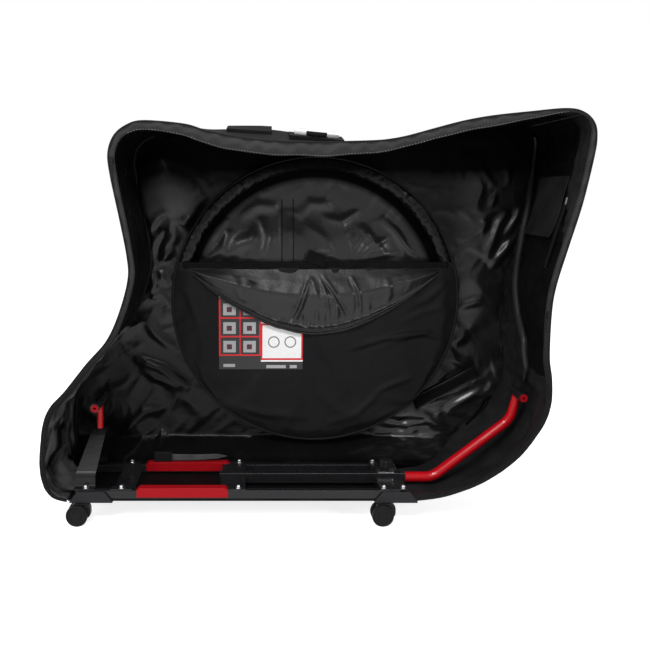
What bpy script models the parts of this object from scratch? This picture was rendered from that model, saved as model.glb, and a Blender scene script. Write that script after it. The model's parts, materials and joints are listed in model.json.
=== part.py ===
"""Soft bike travel bag, open on one side, on a wheeled base frame that carries the bike.

X runs from the rear end of the bag (-X) to its front end (+X), Y from the open side (-Y)
to the back panel (+Y), and Z up from the floor. Lengths are in metres.
"""
import math
from collections import namedtuple

import bmesh
import bpy
from mathutils import Matrix, Vector

# Play between touching pieces, the thinnest clearance of a pin in its hole, and the
# length by which a cutter runs past what it cuts.
GAP = 0.0003
RUNNING_PLAY = 0.0009
OVERRUN = 0.004
EDGE = 0.001

# The fabric body: its longest reach, its height above its floor, and its depth with the
# zip sliders, which stand in front of the rim.
BAG_LENGTH = 1.200
BAG_HEIGHT = 0.882
BAG_DEPTH = 0.360
SLIDER_STAND = 0.008
WALL = 0.006
PANEL = 0.006
RIM_THICKNESS = 0.003
RIM_WIDTH = 0.030
CROWN = 0.031
CROWN_CENTRE = -0.090
CROWN_REACH = 0.235

# The narrow base that the body overhangs: its width, the upright part of its sides, and
# the heights over which the open side and the back then spread to the full depth.
BASE_WIDTH = 0.217
BASE_SIDE = 0.024
NEAR_CHINE = 0.200
FAR_CHINE = 0.046
FRAME_SETBACK = 0.1615
FLOOR_THICKNESS = 0.0045

# Castors.
WHEEL_DIAMETER = 0.050
WHEEL_WIDTH = 0.0115
WHEEL_DISH = 0.0016
HOOD_WIDTH = 0.0165
HOOD_LENGTH = 0.045
HOOD_DROP = 0.036
HOOD_CORNER = 0.012
SWIVEL_DIAMETER = 0.030
SWIVEL_COLLAR = 0.0016
WHEEL_PLAY = 0.0010
AXLE_DIAMETER = 0.008
TRAIL = 0.008
PLATE_CLEARANCE = 0.0025
CASTOR_PLATE = 0.0025
CASTOR_OUTSET = 0.010

# Castor plates, with a lip at each end.
PLATE_LENGTH = 0.100
PLATE_LEAD = 0.0235
LIP_HEIGHT = 0.024
LIP_TOP_LENGTH = 0.063

# Rails, their sleeves and cross members.
RAIL = 0.020
RAIL_WALL = 0.002
RAIL_SPACING = 0.190
SLEEVE_WALL = 0.0022
SLEEVE_PAD = 0.006
SLEEVE_SKIRT = 0.0035
SLEEVE_TAPER = 0.006
MEMBER_EAR = 0.003
MEMBER_FLOOR = 0.0045
MEMBER_LIFT = 0.0006
REAR_MEMBER_LENGTH = 0.050
MID_MEMBER_LENGTH = 0.058
FRONT_MEMBER_LENGTH = 0.063
FRONT_MEMBER_OFFSET = 0.0045
CLAMP_SETBACK = 0.0475

# The sliding middle tube and the red fork support on its end.
TUBE = 0.025
TUBE_WALL = 0.002
TUBE_CORNER = 0.0015
SLIDE_BACK = 0.035
SUPPORT_DIAMETER = 0.025
SUPPORT_BEND = 0.055
SUPPORT_RISE = 0.145
SUPPORT_HEAD_WIDTH = 0.016
SUPPORT_HEAD_DEPTH = 0.021
FORK_AXLE_Z = 0.286

# Axle sleeves and their caps.
SLEEVE_TUBE = 0.022
AXLE_BORE = 0.0123
FRONT_HUB = 0.100
REAR_HUB = 0.142
CAP_FLANGE = 0.003
CAP_DIAMETER = 0.018
CAP_SPIGOT = 0.010
CAP_BORE = 0.006

# Rear support.
REAR_AXLE_Z = 0.2665
BRIDGE_SHEET = 0.003
BRIDGE_FOOT = 0.020
BRIDGE_LENGTH = 0.047
BRIDGE_TOP_LENGTH = 0.034
BRIDGE_RISER = 0.030
BRIDGE_TOP_WIDTH = 0.036
BRIDGE_HEIGHT = 0.119
BRIDGE_BEND = 0.028
POST_WIDTH = 0.024
POST_DEPTH = 0.014

# Clamp on the front cross member.
CLAMP_PLATE_LENGTH = 0.041
CLAMP_PLATE_WIDTH = 0.030
CLAMP_PLATE = 0.004
STUD_DIAMETER = 0.008
KNOB_DIAMETER = 0.036
KNOB_HEIGHT = 0.019
KNOB_NECK = 0.008
KNOB_COLLAR = 0.016
KNOB_LOBES = 6
KNOB_LOBE_DEPTH = 0.0022

# The wheel pocket on the back panel.
POCKET_RADIUS = 0.362
POCKET_Z = 0.490
POCKET_DEPTH = 0.042
POCKET_RING = 0.034
POCKET_FABRIC = 0.003
MOUTH_RISE = 0.100
HEM_HEIGHT = 0.016
HEM_THICKNESS = 0.006
VALANCE_DROP = 0.165
VALANCE_INSET = 0.004
VALANCE_ROLL = 0.024
VALANCE_SHEET = 0.004
TAB_WIDTH = 0.050
TAB_HEIGHT = 0.036
TAB_THICKNESS = 0.003
CARD_THICKNESS = 0.0012
CARD_WIDTH = 0.107
CARD_HEIGHT = 0.190
CARD_STEP = 0.064
CARD_TOP = 0.504

# Straps, patches and handles sewn to the body.
PATCH = 0.003
PAD_THICKNESS = 0.006
HANDLE_BASE = 0.002
HANDLE_GAP = 0.045
HANDLE_REACH = 0.026
HANDLE_GRIP = 0.011
HANDLE_PIN = 0.006
HANDLE_PIN_LENGTH = 0.008
HANDLE_INSET = 0.0042
BRACKET_LENGTH = 0.026
BRACKET_DEPTH = 0.018
BRACKET_HEIGHT = 0.012
FLAP_FROM_Z = 0.655
FLAP_TO_Z = 0.800
FLAP_NEAR_Y = -0.100
FLAP_FAR_Y = 0.090
TUNNEL_FROM_Z = 0.590
TUNNEL_TO_Z = 0.735
TUNNEL_Y = -0.118
TUNNEL_DIAMETER = 0.014
TUNNEL_END = 0.004
STIFFENER = 0.007
STIFFENER_SHOWS = 0.014
LOOP_Z = 0.806
LOOP_Y = -0.060
LOOP_WIDTH = 0.020
LOOP_LENGTH = 0.018
LOOP_REACH = 0.013
LOOP_WEBBING = 0.0025
PANEL_STRAP_CLEARANCE = 0.0235
PANEL_STRAP_ANGLE = -45
PANEL_STRAP_END_Z = 0.298
PANEL_STRAP_WIDTH = 0.030
TIE_LENGTH = 0.180
TIE_WIDTH = 0.020
TIE_WEBBING = 0.0025
TIE_RISE = 0.004
BUCKLE_LENGTH = 0.045
BUCKLE_WALL = 0.004
BUCKLE_INSET = 0.006

# Zip sliders: where they are parked, and their size.
REAR_SLIDER_Z = 0.830
FRONT_SLIDER_Z = 0.500
SLIDER_LENGTH = 0.016
SLIDER_WIDTH = 0.012
SLIDER_BASE = 0.0020
SLIDER_EAR = 0.0015
SLIDER_EAR_LENGTH = 0.0045
PULL_LENGTH = 0.036
PULL_WIDTH = 0.006
PULL_THICKNESS = 0.0018
PULL_BARREL = 0.0050
PULL_PIN = 0.0020
PULL_PLAY = 0.0004

# Where the pieces of the base frame and of the pocket sit, as shares of the bag's length.
REAR_SHARES = {
    "castor": -0.43667, "rail end": -0.44667, "axle": -0.41083, "member": -0.35917,
    "tie": -0.31250, "sleeve start": -0.32900, "sleeve end": -0.15233,
}
MIDDLE_SHARES = {"member": -0.14333, "tube end": -0.17167, "card": -0.17583}
FRONT_SHARES = {
    "castor": 0.15250, "rail end": 0.17958, "tube end": 0.20375, "support bend": 0.26067,
    "support shoulder": 0.41233, "axle": 0.42500, "pocket": 0.02750, "strap end": 0.37917,
}
REAR_CASTOR_X = BAG_LENGTH * REAR_SHARES["castor"]
FRONT_CASTOR_X = BAG_LENGTH * FRONT_SHARES["castor"]
RAIL_REAR_X = BAG_LENGTH * REAR_SHARES["rail end"]
RAIL_FRONT_X = BAG_LENGTH * FRONT_SHARES["rail end"]
SLEEVE_REAR_X = BAG_LENGTH * REAR_SHARES["sleeve start"]
SLEEVE_FRONT_X = BAG_LENGTH * REAR_SHARES["sleeve end"]
REAR_MEMBER_X = BAG_LENGTH * REAR_SHARES["member"]
MID_MEMBER_X = BAG_LENGTH * MIDDLE_SHARES["member"]
TUBE_REAR_X = BAG_LENGTH * MIDDLE_SHARES["tube end"]
TUBE_FRONT_X = BAG_LENGTH * FRONT_SHARES["tube end"]
SUPPORT_BEND_X = BAG_LENGTH * FRONT_SHARES["support bend"]
SUPPORT_SHOULDER_X = BAG_LENGTH * FRONT_SHARES["support shoulder"]
FORK_AXLE_X = BAG_LENGTH * FRONT_SHARES["axle"]
REAR_AXLE_X = BAG_LENGTH * REAR_SHARES["axle"]
CLAMP_X = TUBE_FRONT_X - CLAMP_SETBACK
FRONT_MEMBER_X = CLAMP_X + FRONT_MEMBER_OFFSET
POCKET_X = BAG_LENGTH * FRONT_SHARES["pocket"]
CARD_X = BAG_LENGTH * MIDDLE_SHARES["card"]
TIE_X = BAG_LENGTH * REAR_SHARES["tie"]
PANEL_STRAP_END_X = BAG_LENGTH * FRONT_SHARES["strap end"]

# Heights that follow from the sizes above.
PLATE_Z = WHEEL_DIAMETER + PLATE_CLEARANCE
BASE_Z = PLATE_Z + CASTOR_PLATE + GAP
FLOOR_TOP = BASE_Z + FLOOR_THICKNESS
RAIL_Z = FLOOR_TOP + GAP
RAIL_TOP = RAIL_Z + RAIL
TUBE_Z = RAIL_Z + MEMBER_LIFT + MEMBER_FLOOR + GAP
TUBE_TOP = TUBE_Z + TUBE
TUBE_MID = TUBE_Z + TUBE / 2

# Depths that follow from the sizes above.
FRONT_Y = -(BAG_DEPTH + SLIDER_STAND) / 2
RIM_Y = FRONT_Y + SLIDER_STAND
BACK_Y = (BAG_DEPTH + SLIDER_STAND) / 2
PANEL_Y = BACK_Y - PANEL
FRAME_Y = RIM_Y + FRAME_SETBACK
RAIL_Y = RAIL_SPACING / 2
CASTOR_Y = RAIL_Y + CASTOR_OUTSET

# The outline of the body seen from its open side, from the rear end of the floor over the
# top to the front end of the floor: across, up, and the width of the rim there.
OUTLINE_SHARES = [
    (-0.4625, 0.000, 0.20), (-0.4870, 0.018, 0.25), (-0.4980, 0.058, 0.35),
    (-0.5000, 0.129, 0.42), (-0.4940, 0.215, 0.45), (-0.4800, 0.266, 0.45),
    (-0.4510, 0.309, 0.45), (-0.4090, 0.380, 0.45), (-0.3720, 0.437, 0.45),
    (-0.3480, 0.505, 0.45), (-0.3300, 0.590, 0.45), (-0.3310, 0.650, 0.45),
    (-0.3440, 0.750, 0.45), (-0.3570, 0.8415, 0.45), (-0.3605, 0.896, 0.48),
    (-0.3490, 0.938, 0.52), (-0.3250, 0.963, 0.58), (-0.2950, 0.972, 0.66),
    (-0.2260, 0.964, 0.80), (-0.1900, 0.950, 0.90), (-0.1550, 0.940, 0.96),
    (-0.1130, 0.9305, 1.00), (-0.0717, 0.9255, 1.00), (-0.0396, 0.923, 1.00),
    (0.0096, 0.922, 1.00), (0.0588, 0.9233, 0.97), (0.0950, 0.9245, 0.92),
    (0.1280, 0.927, 0.80),
    (0.1650, 0.9355, 0.72), (0.2150, 0.9536, 0.70), (0.2650, 0.971, 0.72),
    (0.3150, 0.983, 0.72), (0.3800, 0.9925, 0.50), (0.4450, 1.000, 0.25),
    (0.4760, 0.991, 0.20), (0.4950, 0.966, 0.30), (0.5000, 0.930, 0.42),
    (0.4960, 0.880, 0.45), (0.4810, 0.7736, 0.45), (0.4610, 0.672, 0.45),
    (0.4430, 0.578, 0.45), (0.4370, 0.510, 0.45), (0.4375, 0.400, 0.45),
    (0.4440, 0.341, 0.45), (0.4455, 0.282, 0.45), (0.4365, 0.2335, 0.42),
    (0.4200, 0.193, 0.40), (0.3970, 0.151, 0.38), (0.3410, 0.0806, 0.35),
    (0.3030, 0.0467, 0.30), (0.2600, 0.018, 0.25), (0.1960, 0.000, 0.20),
]
OUTLINE_STEPS = 2
REAR_CORNER = 17
FRONT_CORNER = 34
PAD_ROWS = (20, 22)
HANDLE_ROWS = (23, 25)

# The heights where the back starts and stops spreading, which the outline has a station
# at on either side, and the stations of the two top corners.
TURNING_HEIGHTS = (BASE_Z + BASE_SIDE, BASE_Z + BASE_SIDE + FAR_CHINE)
REAR_TURN = REAR_CORNER * OUTLINE_STEPS + len(TURNING_HEIGHTS)
FRONT_TURN = FRONT_CORNER * OUTLINE_STEPS + len(TURNING_HEIGHTS)

# How the top bulges between its two edges: place across the depth, and height.
CROWN_SHARES = [
    (0.00, 0.00), (0.07, 0.23), (0.16, 0.53), (0.26, 0.86), (0.30, 1.00),
    (0.42, 1.00), (0.58, 1.00), (0.80, 0.60), (1.00, 0.00),
]
PAD_SHARES = (0.16, 0.26, 0.30, 0.42)
HANDLE_SHARES = (0.07, 0.16, 0.26)

# How the front end's foot bulges round the fork support: height up the body, and bulge.
BELLY_SHARES = [
    (0.000, 0.00), (0.010, 0.20), (0.018, 0.48), (0.0467, 0.45), (0.0806, 0.38),
    (0.151, 0.45), (0.193, 0.60), (0.2335, 0.48), (0.282, 0.28), (0.341, 0.12), (0.400, 0.00),
]

# The pocket's slack flap: how its fall shrinks towards its ends, and its section, as shares
# of its roll's depth and of its fall, from its lower edge up.
FALL_SHARES = {"loss": 0.92, "curve": 1.8}
VALANCE_SHARES = [(1.00, 0.10), (0.62, 0.34), (1.00, 0.66), (0.80, 0.90)]

# Corners of the tab on the hem, across its width and up its height.
TAB_SHARES = [(-0.5, 0.5), (0.5, 0.0), (0.5, 0.7), (-0.3, 1.3)]

# How round some bends are, as shares of the size that they are cut from.
ROUND_SHARES = {"bracket": 0.45, "bail": 0.62, "loop": 0.60, "slot": 0.98, "corner": 0.49}

# The dish in a castor wheel's side: place on its radius, and depth.
DISH_SHARES = [(0.42, 0), (0.46, 1), (0.80, 1), (0.86, 0)]

# Half the plan of a zip slider: place across its width and along its length.
SLIDER_SHARES = [(0.30, -0.50), (0.50, -0.15), (0.50, 0.30), (0.36, 0.50)]

Station = namedtuple("Station", "x z nx nz rim")

COLOURS = {
    "shell_fabric": ((0.012, 0.012, 0.013), 0.62, 0.0),
    "rim_tape": ((0.035, 0.035, 0.037), 0.70, 0.0),
    "lining_satin": ((0.016, 0.016, 0.018), 0.30, 0.0),
    "pocket_ripstop": ((0.010, 0.010, 0.011), 0.75, 0.0),
    "webbing": ((0.020, 0.020, 0.021), 0.80, 0.0),
    "grey_webbing": ((0.120, 0.120, 0.122), 0.70, 0.0),
    "grey_rod": ((0.180, 0.180, 0.185), 0.45, 0.0),
    "black_rubber": ((0.012, 0.012, 0.012), 0.60, 0.0),
    "card_print": ((0.030, 0.030, 0.032), 0.35, 0.0),
    "rail_black": ((0.022, 0.022, 0.024), 0.35, 0.3),
    "red_paint": ((0.560, 0.008, 0.012), 0.28, 0.0),
    "red_plastic": ((0.560, 0.008, 0.012), 0.38, 0.0),
    "plate_black": ((0.040, 0.040, 0.042), 0.55, 0.2),
    "steel": ((0.560, 0.560, 0.570), 0.28, 1.0),
    "hard_plastic": ((0.014, 0.014, 0.015), 0.45, 0.0),
    "wheel_rubber": ((0.030, 0.030, 0.032), 0.50, 0.0),
}


def clear_scene():
    """Removes whatever the file holds, so that the script can be run again."""
    for old in list(bpy.data.objects):
        bpy.data.objects.remove(old, do_unlink=True)


def material(name):
    """Returns the named material, made once from the table of colours."""
    found = bpy.data.materials.get(name)
    if found:
        return found
    colour, roughness, metallic = COLOURS[name]
    made = bpy.data.materials.new(name)
    made.use_nodes = True
    shader = made.node_tree.nodes["Principled BSDF"]
    shader.inputs["Base Color"].default_value = (*colour, 1.0)
    shader.inputs["Roughness"].default_value = roughness
    shader.inputs["Metallic"].default_value = metallic
    made.diffuse_color = (*colour, 1.0)
    return made


def add_object(name, bm, finish, origin=(0, 0, 0), smooth=35):
    """Turns a closed bmesh in world places into an object with its origin at `origin`."""
    bmesh.ops.recalc_face_normals(bm, faces=bm.faces)
    if bm.calc_volume(signed=True) < 0:
        bmesh.ops.reverse_faces(bm, faces=bm.faces)
    bmesh.ops.translate(bm, verts=bm.verts, vec=-Vector(origin))
    mesh = bpy.data.meshes.new(name)
    bm.to_mesh(mesh)
    bm.free()
    mesh.materials.append(material(finish))
    mesh.shade_smooth()
    mesh.set_sharp_from_angle(angle=math.radians(smooth))
    made = bpy.data.objects.new(name, mesh)
    made.location = origin
    bpy.context.scene.collection.objects.link(made)
    return made


def add_guide(name, place):
    """An empty that marks the axis on which a moving group turns or slides."""
    guide = bpy.data.objects.new(name, None)
    guide.location = place
    guide.empty_display_size = RAIL
    bpy.context.scene.collection.objects.link(guide)
    return guide


def attach(piece, guide):
    """Parents a piece to a guide and leaves it where it stands."""
    piece.location = piece.location - guide.location
    piece.parent = guide


def soften(piece, width=EDGE, segments=1):
    """Rounds the piece's outer sharp edges a little, as pressed and moulded pieces have."""
    bm = bmesh.new()
    bm.from_mesh(piece.data)
    weight = bm.edges.layers.float.new("bevel_weight_edge")
    for edge in bm.edges:
        if edge.is_convex and edge.calc_face_angle(0) > math.radians(40):
            edge[weight] = 1.0
    bm.to_mesh(piece.data)
    bm.free()
    bevel = piece.modifiers.new("softened edges", "BEVEL")
    bevel.width = width
    bevel.segments = segments
    bevel.limit_method = "WEIGHT"


def combine(piece, bm, name, operation):
    """Adds a helper object that cuts the closed bmesh out of the piece or joins it on."""
    helper = add_object(name, bm, "steel")
    helper.hide_render = True
    helper.display_type = "WIRE"
    boolean = piece.modifiers.new(name, "BOOLEAN")
    boolean.operation = operation
    boolean.object = helper


def cut_with(piece, bm, name):
    """Cuts the closed bmesh out of the piece."""
    combine(piece, bm, name, "DIFFERENCE")


def join_with(piece, bm, name):
    """Joins the closed bmesh on to the piece."""
    combine(piece, bm, name, "UNION")


def loft(rings, closed=False):
    """Skins a row of rings that have the same number of points, with flat end caps."""
    bm = bmesh.new()
    rows = [[bm.verts.new(point) for point in ring] for ring in rings]
    pairs = list(zip(rows, rows[1:]))
    if closed:
        pairs.append((rows[-1], rows[0]))
    else:
        bm.faces.new(rows[0])
        bm.faces.new(rows[-1])
    for low, high in pairs:
        for i in range(len(low)):
            j = (i + 1) % len(low)
            bm.faces.new((low[i], low[j], high[j], high[i]))
    return bm


def prism(outline, low, high, axis):
    """Extrudes an outline of two-number points along an axis, from `low` to `high`."""
    def place(a, b, along):
        return {"X": (along, a, b), "Y": (a, along, b), "Z": (a, b, along)}[axis]

    return loft([[place(a, b, along) for a, b in outline] for along in (low, high)])


def block(low, high):
    """A box between two corners."""
    outline = [(low[0], low[1]), (high[0], low[1]), (high[0], high[1]), (low[0], high[1])]
    return prism(outline, low[2], high[2], "Z")


def pipe_prism(outer, inner, low, high, axis):
    """Extrudes the space between two outlines that have the same number of points."""
    def place(a, b, along):
        return {"X": (along, a, b), "Y": (a, along, b), "Z": (a, b, along)}[axis]

    rings = [[place(a, b, low) for a, b in outer], [place(a, b, high) for a, b in outer],
             [place(a, b, high) for a, b in inner], [place(a, b, low) for a, b in inner]]
    return loft(rings, closed=True)


def circle(centre, radius, count, start=0.0):
    """Points on a circle."""
    turn = 2 * math.pi / count
    return [(centre[0] + radius * math.cos(start + i * turn),
             centre[1] + radius * math.sin(start + i * turn)) for i in range(count)]


def turned(profile, centre, axis, count):
    """Turns a profile of (radius, along) points about an axis through `centre`.

    A profile that starts and ends on the axis gives a solid; otherwise it is a closed
    section and gives a ring.
    """
    bm = bmesh.new()
    solid = profile[0][0] == 0 and profile[-1][0] == 0
    turn = 2 * math.pi / count

    def place(radius, along, angle):
        a, b = radius * math.cos(angle), radius * math.sin(angle)
        offset = {"X": (along, a, b), "Y": (a, along, b), "Z": (a, b, along)}[axis]
        return Vector(centre) + Vector(offset)

    rows = []
    for radius, along in profile:
        if radius == 0:
            rows.append([bm.verts.new(place(0, along, 0))] * count)
        else:
            rows.append([bm.verts.new(place(radius, along, i * turn)) for i in range(count)])
    pairs = list(zip(rows, rows[1:]))
    if not solid:
        pairs.append((rows[-1], rows[0]))
    for low, high in pairs:
        for i in range(count):
            j = (i + 1) % count
            corners = list(dict.fromkeys((low[i], low[j], high[j], high[i])))
            if len(corners) > 2:
                bm.faces.new(corners)
    return bm


def rod(centre, axis, radius, low, high, count):
    """A round rod along an axis, from `low` to `high` off its centre."""
    return turned([(0, low), (radius, low), (radius, high), (0, high)], centre, axis, count)


def rounded_path(points, radius, steps, closed=False):
    """Replaces the corners of a path of two-number points by arcs of at most `radius`."""
    count = len(points)
    corners = range(count) if closed else range(1, count - 1)
    result = [] if closed else [points[0]]
    for i in corners:
        here = Vector(points[i])
        before = Vector(points[i - 1]) - here
        after = Vector(points[(i + 1) % count]) - here
        half = before.angle(after) / 2
        reach = min(radius / math.tan(half), before.length * ROUND_SHARES["corner"],
                    after.length * ROUND_SHARES["corner"])
        arc = reach * math.tan(half)
        bisector = (before.normalized() + after.normalized()).normalized()
        centre = here + bisector * (arc / math.sin(half))
        start = here + before.normalized() * reach - centre
        end = here + after.normalized() * reach - centre
        sweep = start.angle_signed(end)
        for step in range(steps + 1):
            spoke = Matrix.Rotation(-sweep * step / steps, 2) @ start
            result.append(tuple(centre + spoke))
    if not closed:
        result.append(points[-1])
    return result


def rounded_rectangle(centre, width, height, radius, steps=3):
    """Outline of a rectangle with round corners."""
    left, right = centre[0] - width / 2, centre[0] + width / 2
    low, high = centre[1] - height / 2, centre[1] + height / 2
    corners = [(left, low), (right, low), (right, high), (left, high)]
    return rounded_path(corners, radius, steps, closed=True)


def sheet_outline(path, thickness):
    """Closed outline of a bent sheet whose left side follows `path`."""
    shifted = []
    for i, point in enumerate(path):
        here = Vector(point)
        before = Vector(path[max(i - 1, 0)])
        after = Vector(path[min(i + 1, len(path) - 1)])
        first = (here - before) if i else (after - here)
        second = (after - here) if i < len(path) - 1 else first
        normal_a = Vector((first.y, -first.x)).normalized()
        normal_b = Vector((second.y, -second.x)).normalized()
        middle = (normal_a + normal_b).normalized()
        shifted.append(tuple(here + middle * (thickness / middle.dot(normal_a))))
    return list(path) + shifted[::-1]


def smooth_rows(rows, steps):
    """Puts extra rows between the given ones, on a smooth curve through them."""
    result = []
    last = len(rows) - 1
    for i in range(last):
        a, b = rows[max(i - 1, 0)], rows[i]
        c, d = rows[i + 1], rows[min(i + 2, last)]
        for step in range(steps):
            t = step / steps
            result.append(tuple(
                0.5 * (2 * q + (r - p) * t + (2 * p - 5 * q + 4 * r - s) * t * t
                       + (3 * q - p - 3 * r + s) * t ** 3)
                for p, q, r, s in zip(a, b, c, d)))
    result.append(rows[-1])
    return result


def body_outline():
    """Stations round the body, each with its place, outward direction and rim width."""
    rows = smooth_rows(OUTLINE_SHARES, OUTLINE_STEPS)
    low, high = min(row[0] for row in rows), max(row[0] for row in rows)
    reach = max(row[1] for row in rows)
    points = [(((x - low) / (high - low) - 0.5) * BAG_LENGTH,
               BASE_Z + max(z, 0) / reach * BAG_HEIGHT, rim * RIM_WIDTH) for x, z, rim in rows]
    for height in TURNING_HEIGHTS:
        crossings = [i for i, (a, b) in enumerate(zip(points, points[1:]))
                     if (a[1] - height) * (b[1] - height) < 0]
        for i in crossings[::-1]:
            a, b = points[i], points[i + 1]
            share = (height - a[1]) / (b[1] - a[1])
            points.insert(i + 1, tuple(p + (q - p) * share for p, q in zip(a, b)))
    result = []
    for i, (x, z, rim) in enumerate(points):
        before, after = points[max(i - 1, 0)], points[min(i + 1, len(points) - 1)]
        along = Vector((after[0] - before[0], after[1] - before[1])).normalized()
        normal = Vector((-along.y, along.x))
        if i in (0, len(points) - 1):
            normal = Vector((0, -1))
        result.append(Station(x, z, normal.x, normal.y, rim))
    return result


def station_at(path, place):
    """The station at a fractional place along the path."""
    low = min(max(int(math.floor(place)), 0), len(path) - 2)
    share = place - low
    return Station(*(a + (b - a) * share for a, b in zip(path[low], path[low + 1])))


def stretch(path, start, end):
    """The stations from one fractional place to another, both included."""
    inner = [path[i] for i in range(math.floor(start) + 1, math.ceil(end))]
    return [station_at(path, start)] + inner + [station_at(path, end)]


def place_along(path, first, last, key, value):
    """The fractional place between two stations where `key` reaches `value`."""
    for i in range(first, last):
        a, b = getattr(path[i], key), getattr(path[i + 1], key)
        if min(a, b) <= value <= max(a, b) and a != b:
            return i + (value - a) / (b - a)
    raise ValueError("the outline doesn't reach %s %.3f" % (key, value))


def step_length(path, place):
    """Length of the outline's step at a fractional place."""
    i = min(max(int(math.floor(place)), 0), len(path) - 2)
    return math.hypot(path[i + 1].x - path[i].x, path[i + 1].z - path[i].z)


def spread(z, chine):
    """How far a side has spread from the base's edge to the full depth, 0 to 1."""
    return min(max((z - BASE_Z - BASE_SIDE) / chine, 0), 1)


def near_edge(z):
    """Depth of the open edge at a height."""
    base = FRAME_Y - BASE_WIDTH / 2
    t = spread(z, NEAR_CHINE)
    return base + (RIM_Y - base) * t * t * (3 - 2 * t)


def far_edge(z):
    """Depth of the back panel's inner face at a height."""
    base = FRAME_Y + BASE_WIDTH / 2
    return base + (PANEL_Y - base) * spread(z, FAR_CHINE)


def read_table(table, key):
    """The value between the rows of a table on either side of `key`, or zero outside it."""
    for (k0, v0), (k1, v1) in zip(table, table[1:]):
        if k0 <= key <= k1:
            return v0 + (v1 - v0) * (key - k0) / (k1 - k0)
    return 0.0


def bulge(station):
    """How far the middle of the wall stands out past its edges at a station."""
    if station.nz <= 0 and station.x > 0:
        return CROWN * read_table(BELLY_SHARES, (station.z - BASE_Z) / BAG_HEIGHT)
    t = abs(station.x - CROWN_CENTRE) / CROWN_REACH
    if t >= 1 or station.nz <= 0:
        return 0.0
    return CROWN * math.cos(t * math.pi / 2) ** 2


def wall_point(station, share, lift):
    """A point of the body's outer side, lifted along the outward direction."""
    low = near_edge(station.z) + RIM_THICKNESS + GAP
    high = far_edge(station.z) - GAP
    rise = bulge(station) * read_table(CROWN_SHARES, share) + lift
    return (station.x + station.nx * rise, low + (high - low) * share,
            station.z + station.nz * rise)


def share_at(station, y):
    """Place across the depth, 0 to 1, of a given Y."""
    low = near_edge(station.z) + RIM_THICKNESS + GAP
    high = far_edge(station.z) - GAP
    return (y - low) / (high - low)


def wall_band(stations, shares, low, high):
    """A sewn band that follows the body between two lifts off its outer side.

    Both its sides are split along the same diagonals, so bands lie flat on one another.
    """
    rings = []
    for station in stations:
        outer = [wall_point(station, share, high) for share in shares]
        inner = [wall_point(station, share, low) for share in shares]
        rings.append(outer + inner[::-1])
    bm = loft(rings)
    around = 2 * len(shares)
    split = {"FIXED": [], "ALTERNATE": []}
    for number, face in enumerate(list(bm.faces)[2:]):
        split["FIXED" if number % around < len(shares) else "ALTERNATE"].append(face)
    for method, faces in split.items():
        bmesh.ops.triangulate(bm, faces=faces, quad_method=method)
    return bm


def row_stations(path, rows):
    """The stations from one row of the outline's top to another."""
    low, high = (row * OUTLINE_STEPS + len(TURNING_HEIGHTS) for row in rows)
    return path[low:high + 1]


def trimmed(path, start, end):
    """A stretch of the outline, shortened by half the play at each end."""
    return stretch(path, start + GAP / 2 / step_length(path, start),
                   end - GAP / 2 / step_length(path, end - GAP / BAG_LENGTH))


def build_gusset(path):
    """The three sewn lengths of side wall: rear end, top and front end."""
    corners = [0, REAR_TURN, FRONT_TURN, len(path) - 1]
    shares = [share for share, _ in CROWN_SHARES]
    names = ("rear_gusset", "top_gusset", "front_gusset")
    for name, start, end in zip(names, corners, corners[1:]):
        bm = wall_band(trimmed(path, start, end), shares, -WALL, 0)
        add_object(name, bm, "shell_fabric", smooth=50)


def build_back_panel(path):
    """The padded side that closes the far side of the body, drawn in over the base."""
    outline = [(station.x, station.z) for station in path]
    bm = prism(outline, 0, PANEL, "Y")
    for height in TURNING_HEIGHTS:
        geometry = bm.verts[:] + bm.edges[:] + bm.faces[:]
        bmesh.ops.bisect_plane(bm, geom=geometry, plane_co=(0, 0, height), plane_no=(0, 0, 1))
    bmesh.ops.triangulate(bm, faces=bm.faces)
    for vert in bm.verts:
        vert.co.y += far_edge(vert.co.z)
    add_object("back_panel", bm, "shell_fabric")


def build_floor(path):
    """The stiff floor, which lies on the castor plates and carries the rails."""
    low = (path[0].x + GAP, FRAME_Y - BASE_WIDTH / 2 + RIM_THICKNESS + GAP, BASE_Z)
    high = (path[-1].x - GAP, FRAME_Y + BASE_WIDTH / 2 - GAP, FLOOR_TOP)
    add_object("floor_panel", block(low, high), "shell_fabric")


def build_rim(path):
    """The zip tape and its binding, turned in round the open edge."""
    rings = []
    for station in stretch(path, 0, len(path) - 1):
        front = near_edge(station.z)
        back = front + RIM_THICKNESS
        inner_x = station.x - station.nx * station.rim
        inner_z = station.z - station.nz * station.rim
        rings.append([(station.x, front, station.z), (inner_x, front, inner_z),
                      (inner_x, back, inner_z), (station.x, back, station.z)])
    add_object("zip_rim", loft(rings), "rim_tape", smooth=50)


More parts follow.
